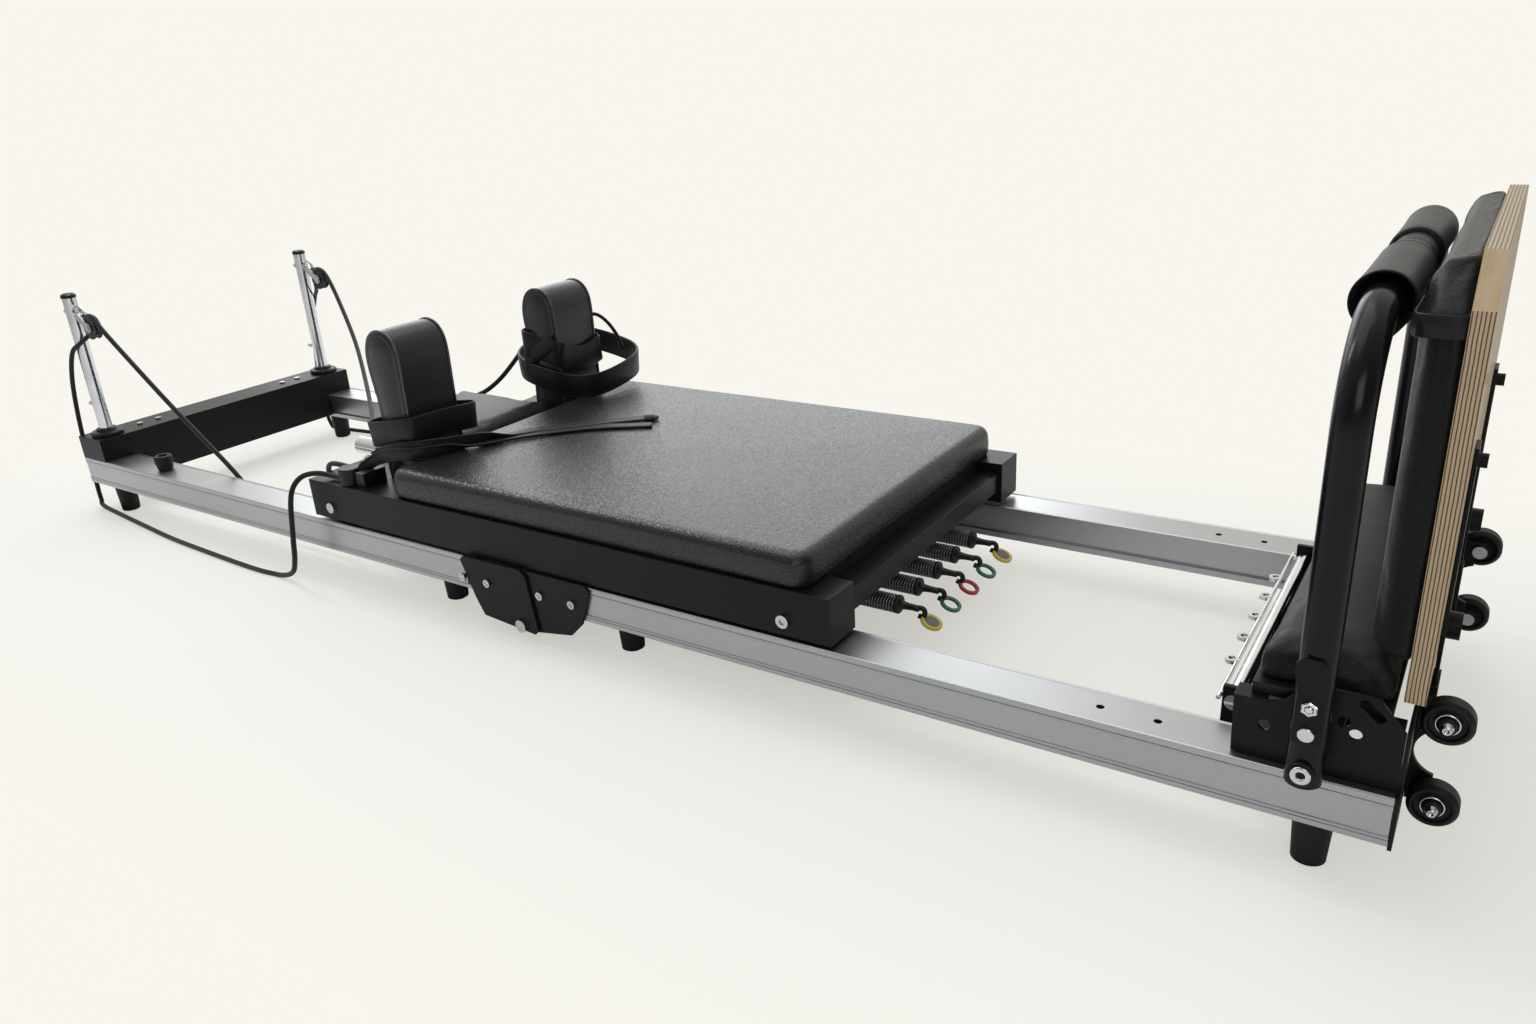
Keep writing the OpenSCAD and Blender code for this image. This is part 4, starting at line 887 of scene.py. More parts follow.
# Dark spring steel, its colour raised as painted light against the shade under the carriage
SPRING_WIRE_PAINTED_LIGHTER = Plated("black_spring_wire", (0.2, 0.2, 0.205), 0.33)
YELLOW = Moulded("yellow_plastic", (0.62, 0.47, 0.035), 0.33, 0.4)
GREY_DISC = Moulded("grey_disc", (0.13, 0.13, 0.125), 0.45, 0.4)
GREEN = Moulded("green_plastic", (0.012, 0.12, 0.068), 0.33, 0.45)
RED = Moulded("red_plastic", (0.36, 0.012, 0.02), 0.33, 0.45)
ROPE = Woven("braided_rope", (0.008, 0.008, 0.009), 0.6, 0.2, threads=420.0, slant=1.0)
WEBBING = Woven("woven_webbing", (0.0065, 0.0067, 0.0075), 0.5, 0.25, threads=520.0, slant=0.5)
LEATHER = Vinyl("strap_leather", (0.0062, 0.0064, 0.0071), 0.36, 0.3, depth=0.00006)

SLOT_FINISHES: dict[str, Finish] = {
    "rail_aluminium": ALUMINIUM,
    "black_coated_steel": BLACK_STEEL,
    "chrome": CHROME,
    "zinc_steel": ZINC,
    "black_vinyl": VINYL,
    "black_foam": FOAM,
    "black_rubber": RUBBER,
    "black_plastic": PLASTIC,
    "grey_plastic": NYLON,
    "birch_plywood": BIRCH,
    "dark_spring_steel": SPRING_WIRE_PAINTED_LIGHTER,
    "yellow_plastic": YELLOW,
    "green_plastic": GREEN,
    "red_plastic": RED,
    "black_rope": ROPE,
    "black_webbing": WEBBING,
}
# Nodes whose finish isn't the one of their slot
OWN_FINISHES: dict[str, Finish] = {"carriage_board": BOARD, "footbar_tube": TUBE_COAT}


def put_on(piece: Piece, body: str, slot: str, *nodes: str) -> Piece:
    """Rides a piece on a body and hides the nodes that it stands for.

    Args:
        piece: The piece, in place.
        body: The body that it moves with.
        slot: The record's material slot; not used.
        *nodes: Nodes that it replaces.

    Returns:
        The piece.
    """
    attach(piece, body)
    if nodes:
        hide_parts(*nodes)
    LOG.info("%s rides on %s", piece.name, body)
    return piece


# Camera, floor and light


@dataclass(frozen=True)
class Lamp:
    """A soft lamp that the camera doesn't see.

    Attributes:
        name: Its name.
        place: Its place in the machine's frame, in millimetres.
        aim: The place it points to.
        size: Its side in metres.
        power: Its power in watts.
        long: Its length in metres along the way it leans, or 0 for a square one.
        colour: Its light's colour.
    """

    name: str
    place: Point
    aim: Point
    size: float
    power: float
    long: float = 0.0
    colour: Point = (0.9, 0.95, 1.0)

    def hang(self) -> None:
        """Adds the lamp to the scene."""
        data = bpy.data.lights.new(self.name, "AREA")
        data.size, data.energy = self.size, self.power
        if self.long:
            data.shape, data.size_y = "RECTANGLE", self.long
        data.color = self.colour
        made = bpy.data.objects.new(self.name, data)
        bpy.context.scene.collection.objects.link(made)
        made.location = row(*self.place)
        made.visible_camera = False
        made.rotation_mode = "QUATERNION"
        made.rotation_quaternion = (row(*self.aim) - row(*self.place)).to_track_quat("-Z", "Y")


@dataclass(frozen=True)
class Studio:
    """The camera at the photograph's angle, the pale floor and the soft light.

    Attributes:
        eye: The camera's place in the machine's frame, in millimetres.
        right: The direction to the picture's right.
        down: The direction down the picture.
        focal: Focal length in pixels of the picture.
        picture: The picture's width in pixels.
        sensor: The camera's sensor in millimetres.
        paper: Colour of floor and background.
        floor_half: Half of the floor's side in metres.
        floor_drop: How far the floor lies under the feet, in metres.
        sky: Colour and strength of the light from all round.
        bright_side: The direction that gloss finds brightest.
        lamps: The soft lamps.
    """

    eye: Point = (2426.4, -1328.8, 728.2)
    right: Point = (0.83262, 0.55069, -0.05911)
    down: Point = (0.15957, -0.34072, -0.92653)
    focal: float = 1124.35
    picture: int = 1536
    sensor: float = 36.0
    paper: Point = (0.939, 0.922, 0.863)
    floor_half: float = 30.0
    floor_drop: float = 0.0004
    sky: tuple[Point, float] = ((0.95, 0.97, 1.0), 0.46)
    bright_side: Point = (-0.45, 0.72, 0.53)
    lamps: tuple[Lamp, ...] = (
        Lamp("key", (1000.0, 200.0, 2900.0), (1200.0, 0.0, 0.0), 2.6, 30.0),
        Lamp("strip", (-350.0, 40.0, 1950.0), (1400.0, -285.0, 165.0), 0.3, 12.0, long=0.9),
        Lamp("back", (-560.0, 2400.0, 1420.0), (1360.0, 0.0, 172.0), 3.6, 35.0, long=1.7),
        Lamp("front", (3300.0, -2700.0, 1700.0), (1500.0, 0.0, 100.0), 1.4, 16.0),
    )

    def camera(self) -> None:
        """Makes the camera."""
        data = bpy.data.cameras.new("camera")
        data.sensor_width = self.sensor
        data.lens = self.focal / self.picture * self.sensor
        data.clip_start, data.clip_end = 0.02, 100.0
        made = bpy.data.objects.new("camera", data)
        bpy.context.scene.collection.objects.link(made)
        right, up = Vector(self.right).normalized(), -Vector(self.down)
        up = (up - up.dot(right) * right).normalized()
        back = right.cross(up)
        turn = Matrix((right, up, back)).transposed().to_4x4()
        made.matrix_world = Matrix.Translation(row(*self.eye)) @ turn
        bpy.context.scene.camera = made

    def floor(self) -> None:
        """Makes the floor, which passes into the background's colour far from the machine."""
        draft = MeshDraft()
        half = self.floor_half
        draft.verts = [Vector((x * half, y * half, 0.0)) for x, y in ((-1, -1), (1, -1), (1, 1), (-1, 1))]
        draft.faces, draft.uvs = [[0, 1, 2, 3]], [[(0.0, 0.0)] * 4]
        made = draft.build("floor", Paper("floor_paper", self.paper, 0.9, 0.05), smooth=False)
        made.location.z = -self.floor_drop

    def light(self) -> None:
        """Makes the world and the soft lamps."""
        world = bpy.data.worlds.new("studio")
        bpy.context.scene.world = world
        world.use_nodes = True
        graph = Graph(world.node_tree)
        soft = world.node_tree.nodes["Background"]
        colour, strength = self.sky
        soft.inputs["Color"].default_value = (*colour, 1.0)
        soft.inputs["Strength"].default_value = strength
        paths = graph.add("ShaderNodeLightPath")
        way = graph.add("ShaderNodeTexCoord").outputs["Generated"]
        facing = graph.add("ShaderNodeVectorMath", {0: way, 1: self.bright_side}, operation="DOT_PRODUCT")
        sheen = graph.stretch(facing.outputs["Value"], -0.3, 0.85, 0.18, 1.0)
        direct = [paths.outputs[ray] for ray in ("Is Camera Ray", "Is Transmission Ray")]
        plain = graph.math("ADD", *direct, clamp=True)
        glossy = graph.math("MULTIPLY", paths.outputs["Is Glossy Ray"], sheen)
        seen = graph.add("ShaderNodeBackground", {"Color": (*self.paper, 1.0)})
        graph.put(seen, "Strength", graph.math("MAXIMUM", plain, glossy))
        share = graph.math("MAXIMUM", plain, paths.outputs["Is Glossy Ray"])
        mixed = graph.add("ShaderNodeMixShader", {0: share, 1: soft.outputs[0], 2: seen.outputs[0]})
        graph.put(world.node_tree.nodes["World Output"], 0, mixed.outputs[0])
        for lamp in self.lamps:
            lamp.hang()

    def set_up(self) -> None:
        """Makes the whole studio."""
        bpy.context.scene.view_settings.view_transform = "Standard"
        self.camera()
        self.floor()
        self.light()


@dataclass(frozen=True)
class Paper(Finish):
    """The floor's paper, matt near the machine and passing into the background's colour.

    Attributes:
        near: The half length and half width of the place under the machine, in metres.
    """

    near: Pair = (1.2, 0.3)

    def dress(self, graph: Graph, shader: Node) -> None:
        """Mixes the lit paper with the background's colour by the distance on the floor.

        Args:
            graph: The material's graph.
            shader: Its shader.
        """
        place = graph.place()
        parts = graph.add("ShaderNodeSeparateXYZ", {0: place})
        out = []
        for across, half in zip(parts.outputs, self.near):
            beyond = graph.math("SUBTRACT", graph.math("ABSOLUTE", across), half)
            out.append(graph.math("MAXIMUM", beyond, 0.0))
        far = graph.math("POWER", graph.math("ADD", *[graph.math("MULTIPLY", v, v) for v in out]), 0.5)
        fibre = graph.mottle(place, 260.0, 3.0)
        self.raised(graph, shader, fibre, 0.0001, 0.1)
        glow = graph.add("ShaderNodeEmission", {"Color": (*self.colour, 1.0), "Strength": 1.0})
        paths = graph.add("ShaderNodeLightPath")
        faded = graph.stretch(far, 0.02, 0.6, 0.55)
        share = graph.math("MULTIPLY", faded, paths.outputs["Is Camera Ray"])
        mixed = graph.add("ShaderNodeMixShader", {0: share, 1: shader.outputs[0], 2: glow.outputs[0]})
        graph.put(graph.tree.nodes["Material Output"], 0, mixed.outputs[0])


# Ropes

ROPE_RADIUS = 4.5
# The height of a rope's middle where it lies on the floor
ROPE_FLOOR = ROPE_RADIUS - FOOT_H
NEAR_ROUTE: list[Point] = [
    (838, -276, 129), (812, -278, 130), (788, -290, 134), (768, -308, 128), (757, -324, 100), (752, -334, 30),
    (744, -336, -15), (724, -334, -44), (680, -334, ROPE_FLOOR), (600, -338, ROPE_FLOOR),
    (360, -328, ROPE_FLOOR), (230, -316, ROPE_FLOOR), (20, -292, ROPE_FLOOR), (-8, -286, -44), (-12, -284, 0),
    (-12, -284, 90), (8, -283, 200), (40, -281, 270), (66, -272, 292), (86, -260, 309), (86, -260, 325),
    (87.6, -260, 333.5), (92.4, -260, 340.6), (99.5, -260, 345.4), (108, -260, 347.1), (116.5, -260, 345.4),
    (123.6, -260, 340.6), (137, -260, 327), (180, -255, 284), (290, -242, 180), (400, -226, 78),
    (500, -221, 2), (660, -220, -26), (720, -221, 8), (740, -224, 66), (750, -240, 112), (774, -247, 135),
    (830, -247, 136), (884.6, -247, 136),
]
# Up to this point of the route the far rope mirrors the near one
PAST_PULLEY = 28
FAR_ROUTE: list[Point] = [
    *[(x, -y, z) for x, y, z in NEAR_ROUTE[:PAST_PULLEY]],
    (180, 246, 282), (290, 190, 206), (420, 104, 146), (550, 10, 120), (640, -60, 124), (684, -84, 136),
    (700, -50, 138), (703, 30, 138), (704, 90, 140), (716, 128, 144), (744, 146, 158), (770, 168, 184),
    (798, 199, 228),
]


@dataclass(frozen=True)
class Ropes:
    """The two ropes, from their cleats along the floor, over the pulleys and back.

    Attributes:
        radius: A rope's radius in millimetres.
        held_x: A place along the rails, in millimetres; not used.
        free_x: A place along the rails, in millimetres; not used.
        steps: Points made for each span of the route.
        sides: Points round a rope.
    """

    radius: float = ROPE_RADIUS
    held_x: float = 130.0
    free_x: float = 735.0
    steps: int = 5
    sides: int = 12

    def rope(self, name: str, node: str, route: Sequence[Point]) -> Piece:
        """Args:
            name: The piece's name.
            node: The node that it stands for.
            route: The points it passes through.

        Returns:
            The rope.
        """
        path = smoothed([row(*p) for p in route], self.steps)
        for p in path:
            p.z = max(p.z, mm(self.radius))
        draft = MeshDraft()
        draft.tube(path, mm(self.radius), self.sides)
        made = draft.build(name, ROPE)
        held, free = row(self.held_x, 0, 0), row(self.free_x, 0, 0)
        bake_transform(made)
        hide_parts(node)
        total = lengths_along(path)[-1]
        tuple(path[0])
        [tuple(p) for p in path]
        LOG.info("%s is %.2f m long", name, total)
        return made

    def set_up(self) -> None:
        """Makes both ropes."""
        self.rope("near_rope", "rope_near", NEAR_ROUTE)
        self.rope("far_rope", "rope_far", FAR_ROUTE)


# Cushions


@dataclass(frozen=True)
class Outline:
    """A convex outline with rounded corners.

    Attributes:
        corners: Its corners in millimetres, anticlockwise.
        radius: The radius of the rounding.
        edge_points: Points along each side.
        corner_points: Points round each corner.
    """

    corners: tuple[Pair, ...]
    radius: float
    edge_points: int = 22
    corner_points: int = 6

    @classmethod
    def box(cls, u0: float, v0: float, u1: float, v1: float, radius: float) -> "Outline":
        """A rounded rectangle."""
        return cls(((u0, v0), (u1, v0), (u1, v1), (u0, v1)), radius)

    def ring(self, inset: float, pull: float = 0.0) -> list[Pair]:
        """The outline moved inwards.

        Args:
            inset: How far, in millimetres.
            pull: How much further the middles of the sides go.

        Returns:
            The ring's points: the same number for every inset.
        """
        count, made = len(self.corners), []
        for k in range(count):
            before, here, after = (Vector(self.corners[(k + s) % count]) for s in (-1, 0, 1))
            in_a = self.inward(before, here)
            in_b = self.inward(here, after)
            vertex = here + inset * (in_a + in_b) / (1 + in_a.dot(in_b))
            turn = math.atan2(in_a.cross(in_b), in_a.dot(in_b))
            radius = max(self.radius - inset, 2.0)
            back = vertex - (here - before).normalized() * radius * math.tan(turn / 2)
            centre = back + in_a * radius
            for s in range(self.corner_points + 1):
                spin = Matrix.Rotation(turn * s / self.corner_points, 2)
                made.append(centre - spin @ in_a * radius)
            far = Vector(self.corners[(k + 2) % count])
            in_c = self.inward(after, far)
            vertex_b = after + inset * (in_b + in_c) / (1 + in_b.dot(in_c))
            turn_b = math.atan2(in_b.cross(in_c), in_b.dot(in_c))
            start = made[-1]
            end = vertex_b - (after - here).normalized() * radius * math.tan(turn_b / 2)
            for s in range(1, self.edge_points):
                share = s / self.edge_points
                made.append(start.lerp(end, share) + in_b * pull * math.sin(math.pi * share) ** 0.7)
        return [(p.x, p.y) for p in made]

    @staticmethod
    def inward(a: Vector, b: Vector) -> Vector:
        """The direction into the outline from its side between two corners."""
        ahead = (b - a).normalized()
        return Vector((-ahead.y, ahead.x))

    def spine(self, point: Pair) -> Pair:
        """The nearest place on the line that runs through the outline's middle.

        Args:
            point: A point of the outline.

        Returns:
            The place's two values.
        """
        us, vs = [c[0] for c in self.corners], [c[1] for c in self.corners]
        mid_u, mid_v = (min(us) + max(us)) / 2, (min(vs) + max(vs)) / 2
        half_u, half_v = (max(us) - min(us)) / 2, (max(vs) - min(vs)) / 2
        if half_u > half_v:
            reach = half_u - half_v
            return mid_u + max(-reach, min(reach, point[0] - mid_u)), mid_v
        reach = half_v - half_u
        return mid_u, mid_v + max(-reach, min(reach, point[1] - mid_v))


@dataclass(frozen=True)
class Traced(Outline):
    """A smooth closed outline through its corners, which may also curve inwards.

    Attributes:
        steps: Points made for each span between corners.
    """

    steps: int = 4

    def ring(self, inset: float, pull: float = 0.0) -> list[Pair]:
        """The outline moved inwards, square to itself.

        Args:
            inset: How far inwards, in millimetres.
            pull: How much further it goes.

        Returns:
            The ring's points: the same number for every inset.
        """
        line = smoothed([Vector((u, v, 0.0)) for u, v in self.corners], self.steps, looped=True)
        made = []
        for i, p in enumerate(line):
            ahead = (line[(i + 1) % len(line)] - line[i - 1]).normalized()
            made.append((p.x - ahead.y * (inset + pull), p.y + ahead.x * (inset + pull)))
        return made


@dataclass(frozen=True)
class Cushion:
    """A padded form over an outline, with rolled edges and a crown.

    Attributes:
        name: The piece's name.
        outline: Its outline.
        thick: Its thickness at the rim, in millimetres.
        crown: How much its middle rises over the rim.
        roll: The radius of its upper edge.
        under: The radius of its lower edge.
        pull: How far its sides pull in between the corners.
        bulge: How far its sides swell out at half height.
        both: Whether its lower face is crowned and rolled like the upper one.
        place: From the outline's two values and the height to the machine's frame.
        wrinkle: How far a place sinks, from the outline's two values and the height.
        fill: How tight it is, from 0 to 1; not used.
        steps: The rings between the outline's middle line and its rim, as shares of the way.
    """

    name: str
    outline: Outline
    thick: float
    crown: float
    roll: float
    place: Callable[[float, float, float], Point]
    under: float = 6.0
    pull: float = 2.0
    bulge: float = 1.0
    both: bool = False
    wrinkle: Callable[[float, float, float], float] | None = None
    fill: float = 0.9
    steps: tuple[float, ...] = (0.06, 0.2, 0.35, 0.5, 0.62, 0.74, 0.84, 0.92, 0.97)

    def profile(self) -> list[Point]:
        """The rim's profile from its lower face to its upper one.

        Returns:
            For each ring its inset, its height and how much the sides pull in there.
        """
        low = self.roll if self.both else self.under
        made = [(low + 4, 0.0, 0.0)]
        for k in range(5):
            a = math.pi / 2 * k / 4
            made.append((low * (1 - math.sin(a)), low * (1 - math.cos(a)), math.sin(a)))
        top = self.thick - self.roll
        for k in range(1, 5):
            share = k / 5
            made.append((-self.bulge * math.sin(math.pi * share), low + (top - low) * share, 1.0))
        for k in range(7):
            a = math.pi / 2 * k / 6
            made.append((self.roll * (1 - math.cos(a)), top + self.roll * math.sin(a), 1 - 0.8 * math.sin(a)))
        return made

    def rings(self) -> list[list[Vector]]:
        """All rings from the middle of the lower face to the middle of the upper one.

        Returns:
            The rings' points.
        """
        rim = self.profile()
        first, last = rim[0], rim[-1]
        made = []
        for s in self.steps:
            drop = self.rise(s) if self.both else 0.0
            made.append(self.inner(first[0], s, first[1] - drop))
        for inset, height, pull in rim:
            made.append([self.spot(u, v, height) for u, v in self.outline.ring(inset, self.pull * pull)])
        for s in reversed(self.steps):
            made.append(self.inner(last[0], s, last[1] + self.rise(s)))
        return made

    def rise(self, share: float) -> float:
        """How high the crown stands over the rim at a share of the way to it."""
        return self.crown * (1 - share**2.2)

    def inner(self, inset: float, share: float, height: float) -> list[Vector]:
        """A ring between the rim and the outline's middle line.

        Args:
            inset: How far inwards, in millimetres.
            share: How near the rim: 0 at the middle line, 1 at the rim.
            height: The ring's height.

        Returns:
            The ring's points.
        """
        made = []
        for u, v in self.outline.ring(inset, self.pull * 0.2 * share):
            mid_u, mid_v = self.outline.spine((u, v))
            made.append(self.spot(mid_u + (u - mid_u) * share, mid_v + (v - mid_v) * share, height))
        return made

    def spot(self, u: float, v: float, w: float) -> Vector:
        """A place on the cushion, sunk by its wrinkles.

        Args:
            u: The outline's first value.
            v: Its second value.
            w: The height over the outline.

        Returns:
            The place in metres.
        """
        if self.wrinkle:
            w -= self.wrinkle(u, v, w)
        return row(*self.place(u, v, w))

    def make(self, finish: Finish, body: str, slot: str, *nodes: str) -> Piece:
        """Args:
            finish: Its finish.
            body: The body that it moves with.
            slot: The record's material slot.
            *nodes: The nodes that it replaces.

        Returns:
            The cushion.
        """
        draft = MeshDraft()
        rings = self.rings()
        draft.loft(rings, caps=False)
        start = self.farthest(self.outline.ring(0.0))
        draft.bridge(0, len(rings[0]), start, turned=True)
        draft.bridge((len(rings) - 1) * len(rings[0]), len(rings[0]), start)
        made = draft.build(self.name, finish, soften=1)
        return put_on(made, body, slot, *nodes)

    @staticmethod
    def farthest(ring: Sequence[Pair]) -> int:
        """The number of the point farthest along the ring's longer direction, nearest its middle line.

        Args:
            ring: The outline's points.

        Returns:
            The point's number.
        """
        us, vs = [p[0] for p in ring], [p[1] for p in ring]
        long_u = max(us) - min(us) > max(vs) - min(vs)
        mid = (max(vs) + min(vs)) / 2 if long_u else (max(us) + min(us)) / 2
        end = max(us) if long_u else max(vs)
        near = [i for i, p in enumerate(ring) if end - p[0 if long_u else 1] < 6]
        return min(near, key=lambda i: abs(ring[i][1 if long_u else 0] - mid))

    def rim_path(self, inset: float, height: float, pull: float = 1.0) -> list[Vector]:
        """A closed path round the cushion, for piping and seams."""
        return [row(*self.place(u, v, height)) for u, v in self.outline.ring(inset, self.pull * pull)]


@dataclass
class Swelling:
    """A cloth simulation that swells pads, with their under sides held.

    Attributes:
        voxel: The size of the mesh that swells, in millimetres.
        pressure: The pressure inside.
        frames: How many frames it runs.
        waiting: The pads, how far a point of each may move, and which of its points are held.
    """

    voxel: float = 5.0
    pressure: float = 4.0
    frames: int = 20
    waiting: list[tuple[Piece, float, Callable[[Vector], bool]]] = field(default_factory=list)

    def add(self, piece: Piece, cap: float, held: Callable[[Vector], bool]) -> None:
        """Puts a pad on the list."""
        self.waiting.append((piece, cap, held))

    def stand_in(self, piece: Piece, held: Callable[[Vector], bool]) -> Piece:
        """Makes the evenly meshed copy that swells in place of a pad.

        Args:
            piece: The pad.
            held: Whether a point stays where it is.

        Returns:
            The copy, with its cloth.
        """
        step = piece.modifiers.new("even", "REMESH")
        step.mode, step.voxel_size = "VOXEL", mm(self.voxel)
        step.use_smooth_shade = True
        seen = piece.evaluated_get(bpy.context.evaluated_depsgraph_get())
        mesh = bpy.data.meshes.new_from_object(seen)
        piece.modifiers.remove(step)
        made = bpy.data.objects.new(f"swelling_{piece.name}", mesh)
        bpy.context.scene.collection.objects.link(made)
        group = made.vertex_groups.new(name="held")
        group.add([v.index for v in mesh.vertices if held(v.co)], 1.0, "REPLACE")
        cloth = made.modifiers.new("cloth", "CLOTH")
        cloth.settings.quality = 5
        cloth.settings.tension_stiffness = cloth.settings.compression_stiffness = 12.0
        cloth.settings.shear_stiffness = 6.0
        cloth.settings.bending_stiffness = 0.6
        cloth.settings.use_pressure = True
        cloth.settings.uniform_pressure_force = self.pressure
        cloth.settings.vertex_group_mass = "held"
        cloth.settings.shrink_min = -0.008
        cloth.settings.effector_weights.gravity = 0.0
        cloth.collision_settings.use_collision = False
        cloth.point_cache.frame_start, cloth.point_cache.frame_end = 1, self.frames
        return made

    def run(self) -> None:
        """Swells every pad on the list and keeps the result in its mesh."""
        scene = bpy.context.scene
        copies = [self.stand_in(piece, held) for piece, _, held in self.waiting]
        for frame in range(1, self.frames + 1):
            scene.frame_set(frame)
        view = bpy.context.evaluated_depsgraph_get()
        for (piece, cap, _), copy in zip(self.waiting, copies, strict=True):
            moved = copy.evaluated_get(view).to_mesh()
            for vertex, after in zip(copy.data.vertices, moved.vertices, strict=True):
                shift = after.co - vertex.co
                vertex.co += shift * min(1.0, mm(cap) / max(shift.length, 1e-9))
            finish = piece.data.materials[0]
            piece.data = copy.data.copy()
            piece.data.materials.clear()
            piece.data.materials.append(finish)
            for polygon in piece.data.polygons:
                polygon.use_smooth = True
            LOG.info("%s has swollen", piece.name)
        for copy in copies:
            bpy.data.objects.remove(copy)
        scene.frame_set(1)


def ripple(amount: float, size: float, seed: float) -> Callable[[float, float, float], float]:
    """Slow unevenness of upholstery.

    Args:
        amount: Depth in millimetres.
        size: Length of a ripple in millimetres.
        seed: Moves the pattern.

    Returns:
        A function of the outline's two values and the height.
    """

    def sink(u: float, v: float, w: float) -> float:
        """How far the place sinks."""
        return amount * noise.noise(Vector((u / size + seed, v / size, w / size)))

    return sink


# Carriage

# The height of the beams' upper faces
BEAM_TOP = 123.0
# A rest's side, from its middle along the rails and from its foot: bulged at its head, with a waist
REST_SIDE = (
    (-30, 0), (0, 0), (32, 0), (36, 4), (36.6, 60), (36, 120), (36.6, 170), (36.6, 200), (33, 223),
    (21.5, 240), (4, 247.5), (-15, 245), (-30, 233), (-38.5, 212), (-39.5, 190), (-36, 163),
    (-31.5, 138), (-30, 112), (-31, 82), (-33.5, 48), (-35, 14), (-34, 4),
)


@dataclass(frozen=True)
class CarriageUpholstery:
    """The carriage's pad, the shoulder rests and the headrest's pad.

    Attributes:
        pad_lo: The pad's corner at the head end, in the machine's frame.
        pad_hi: The pad's corner at the foot end.
        rest_mid: Middle of a rest along the rails, and its distance from the centre line.
        rest_wide: A rest's width.
        rest_gap: How far a rest stands over the beams.
        piping: The radius of the piping round a rest's sides.
        head_lo: The headrest's corner along the rails and across, at the head end.
        head_hi: Its corner at the foot end.
        head_up: How far its pad lies over the beams.
    """

    pad_lo: Point = (975.0, -291.0, 123.3)
    pad_hi: Point = (1751.0, 291.0, 172.3)
    rest_mid: Pair = (935.0, 175.0)
    rest_wide: float = 105.0
    rest_gap: float = 0.3
    piping: float = 2.0
    head_lo: Pair = (715.0, -113.5)
    head_hi: Pair = (949.0, 113.5)
    head_up: float = 12.0

    def pad(self) -> None:
        """Makes the carriage's pad."""
        lo, hi = self.pad_lo, self.pad_hi
        Cushion(
            "carriage_pad_cover",
            Outline.box(lo[0] + 1, lo[1] + 1, hi[0] - 1, hi[1] - 1, 26),
            thick=hi[2] - lo[2] - 3.5,
            crown=3.5,
            roll=17,
            under=5,
            pull=2.5,
            bulge=0.8,
            place=lambda u, v, w: (u, v, lo[2] + w),
            wrinkle=ripple(0.5, 120, 3.1),
        ).make(PAD_VINYL, "carriage", "black_vinyl", "carriage_pad")

    def rest(self, side: Side) -> None:
        """Makes one shoulder rest with the piping round its side panels.

        Args:
            side: The machine's side that it's on.
        """
        x, y = self.rest_mid
        wide = self.rest_wide
        shape = Cushion(
            f"shoulder_rest_{side.name.lower()}",
            Traced(REST_SIDE, 0.0),
            thick=wide,
            crown=3.5,
            roll=5,
            pull=0.0,
            bulge=0.8,
            both=True,
            place=lambda u, v, w: (x + u, side.value * y + w - wide / 2, BEAM_TOP + self.rest_gap + v),
            fill=0.95,
        )
        cover = shape.make(SMOOTH_VINYL, "carriage", "black_vinyl")
        if side is Side.NEAR:
            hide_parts("shoulder_rests")
        draft = MeshDraft()
        for height in (3.2, wide - 3.2):
            draft.tube(shape.rim_path(-0.4, height, 0.0), mm(self.piping), 8, looped=True)
        # The piping's lighter colour is a painted highlight
        put_on(draft.build(f"rest_piping_{side.name.lower()}", WELT_PAINTED_HIGHLIGHT), "carriage", "black_vinyl")

    def headrest(self, swelling: Swelling) -> None:
        """Makes the headrest's pad.

        Args:
            swelling: The simulation that swells its pads.
        """
        made = Cushion(
            "headrest_cover",
            Outline.box(*self.head_lo, *self.head_hi, 16),
            thick=30,
            crown=4,
            roll=12,
            under=4,
            pull=1.5,
            place=lambda u, v, w: (u, v, BEAM_TOP + self.head_up + w),
            wrinkle=ripple(0.5, 70, 8.0),
        ).make(VINYL, "headrest", "black_vinyl", "headrest_pad")
        held = row(0, 0, BEAM_TOP + self.head_up + 2.5).z
        swelling.add(made, 3.5, lambda p: p.z < held)

    def set_up(self, swelling: Swelling) -> None:
        """Makes all of it.

        Args:
            swelling: The simulation that swells its pads.
        """
        self.pad()
        for side in Side:
            self.rest(side)
        self.headrest(swelling)


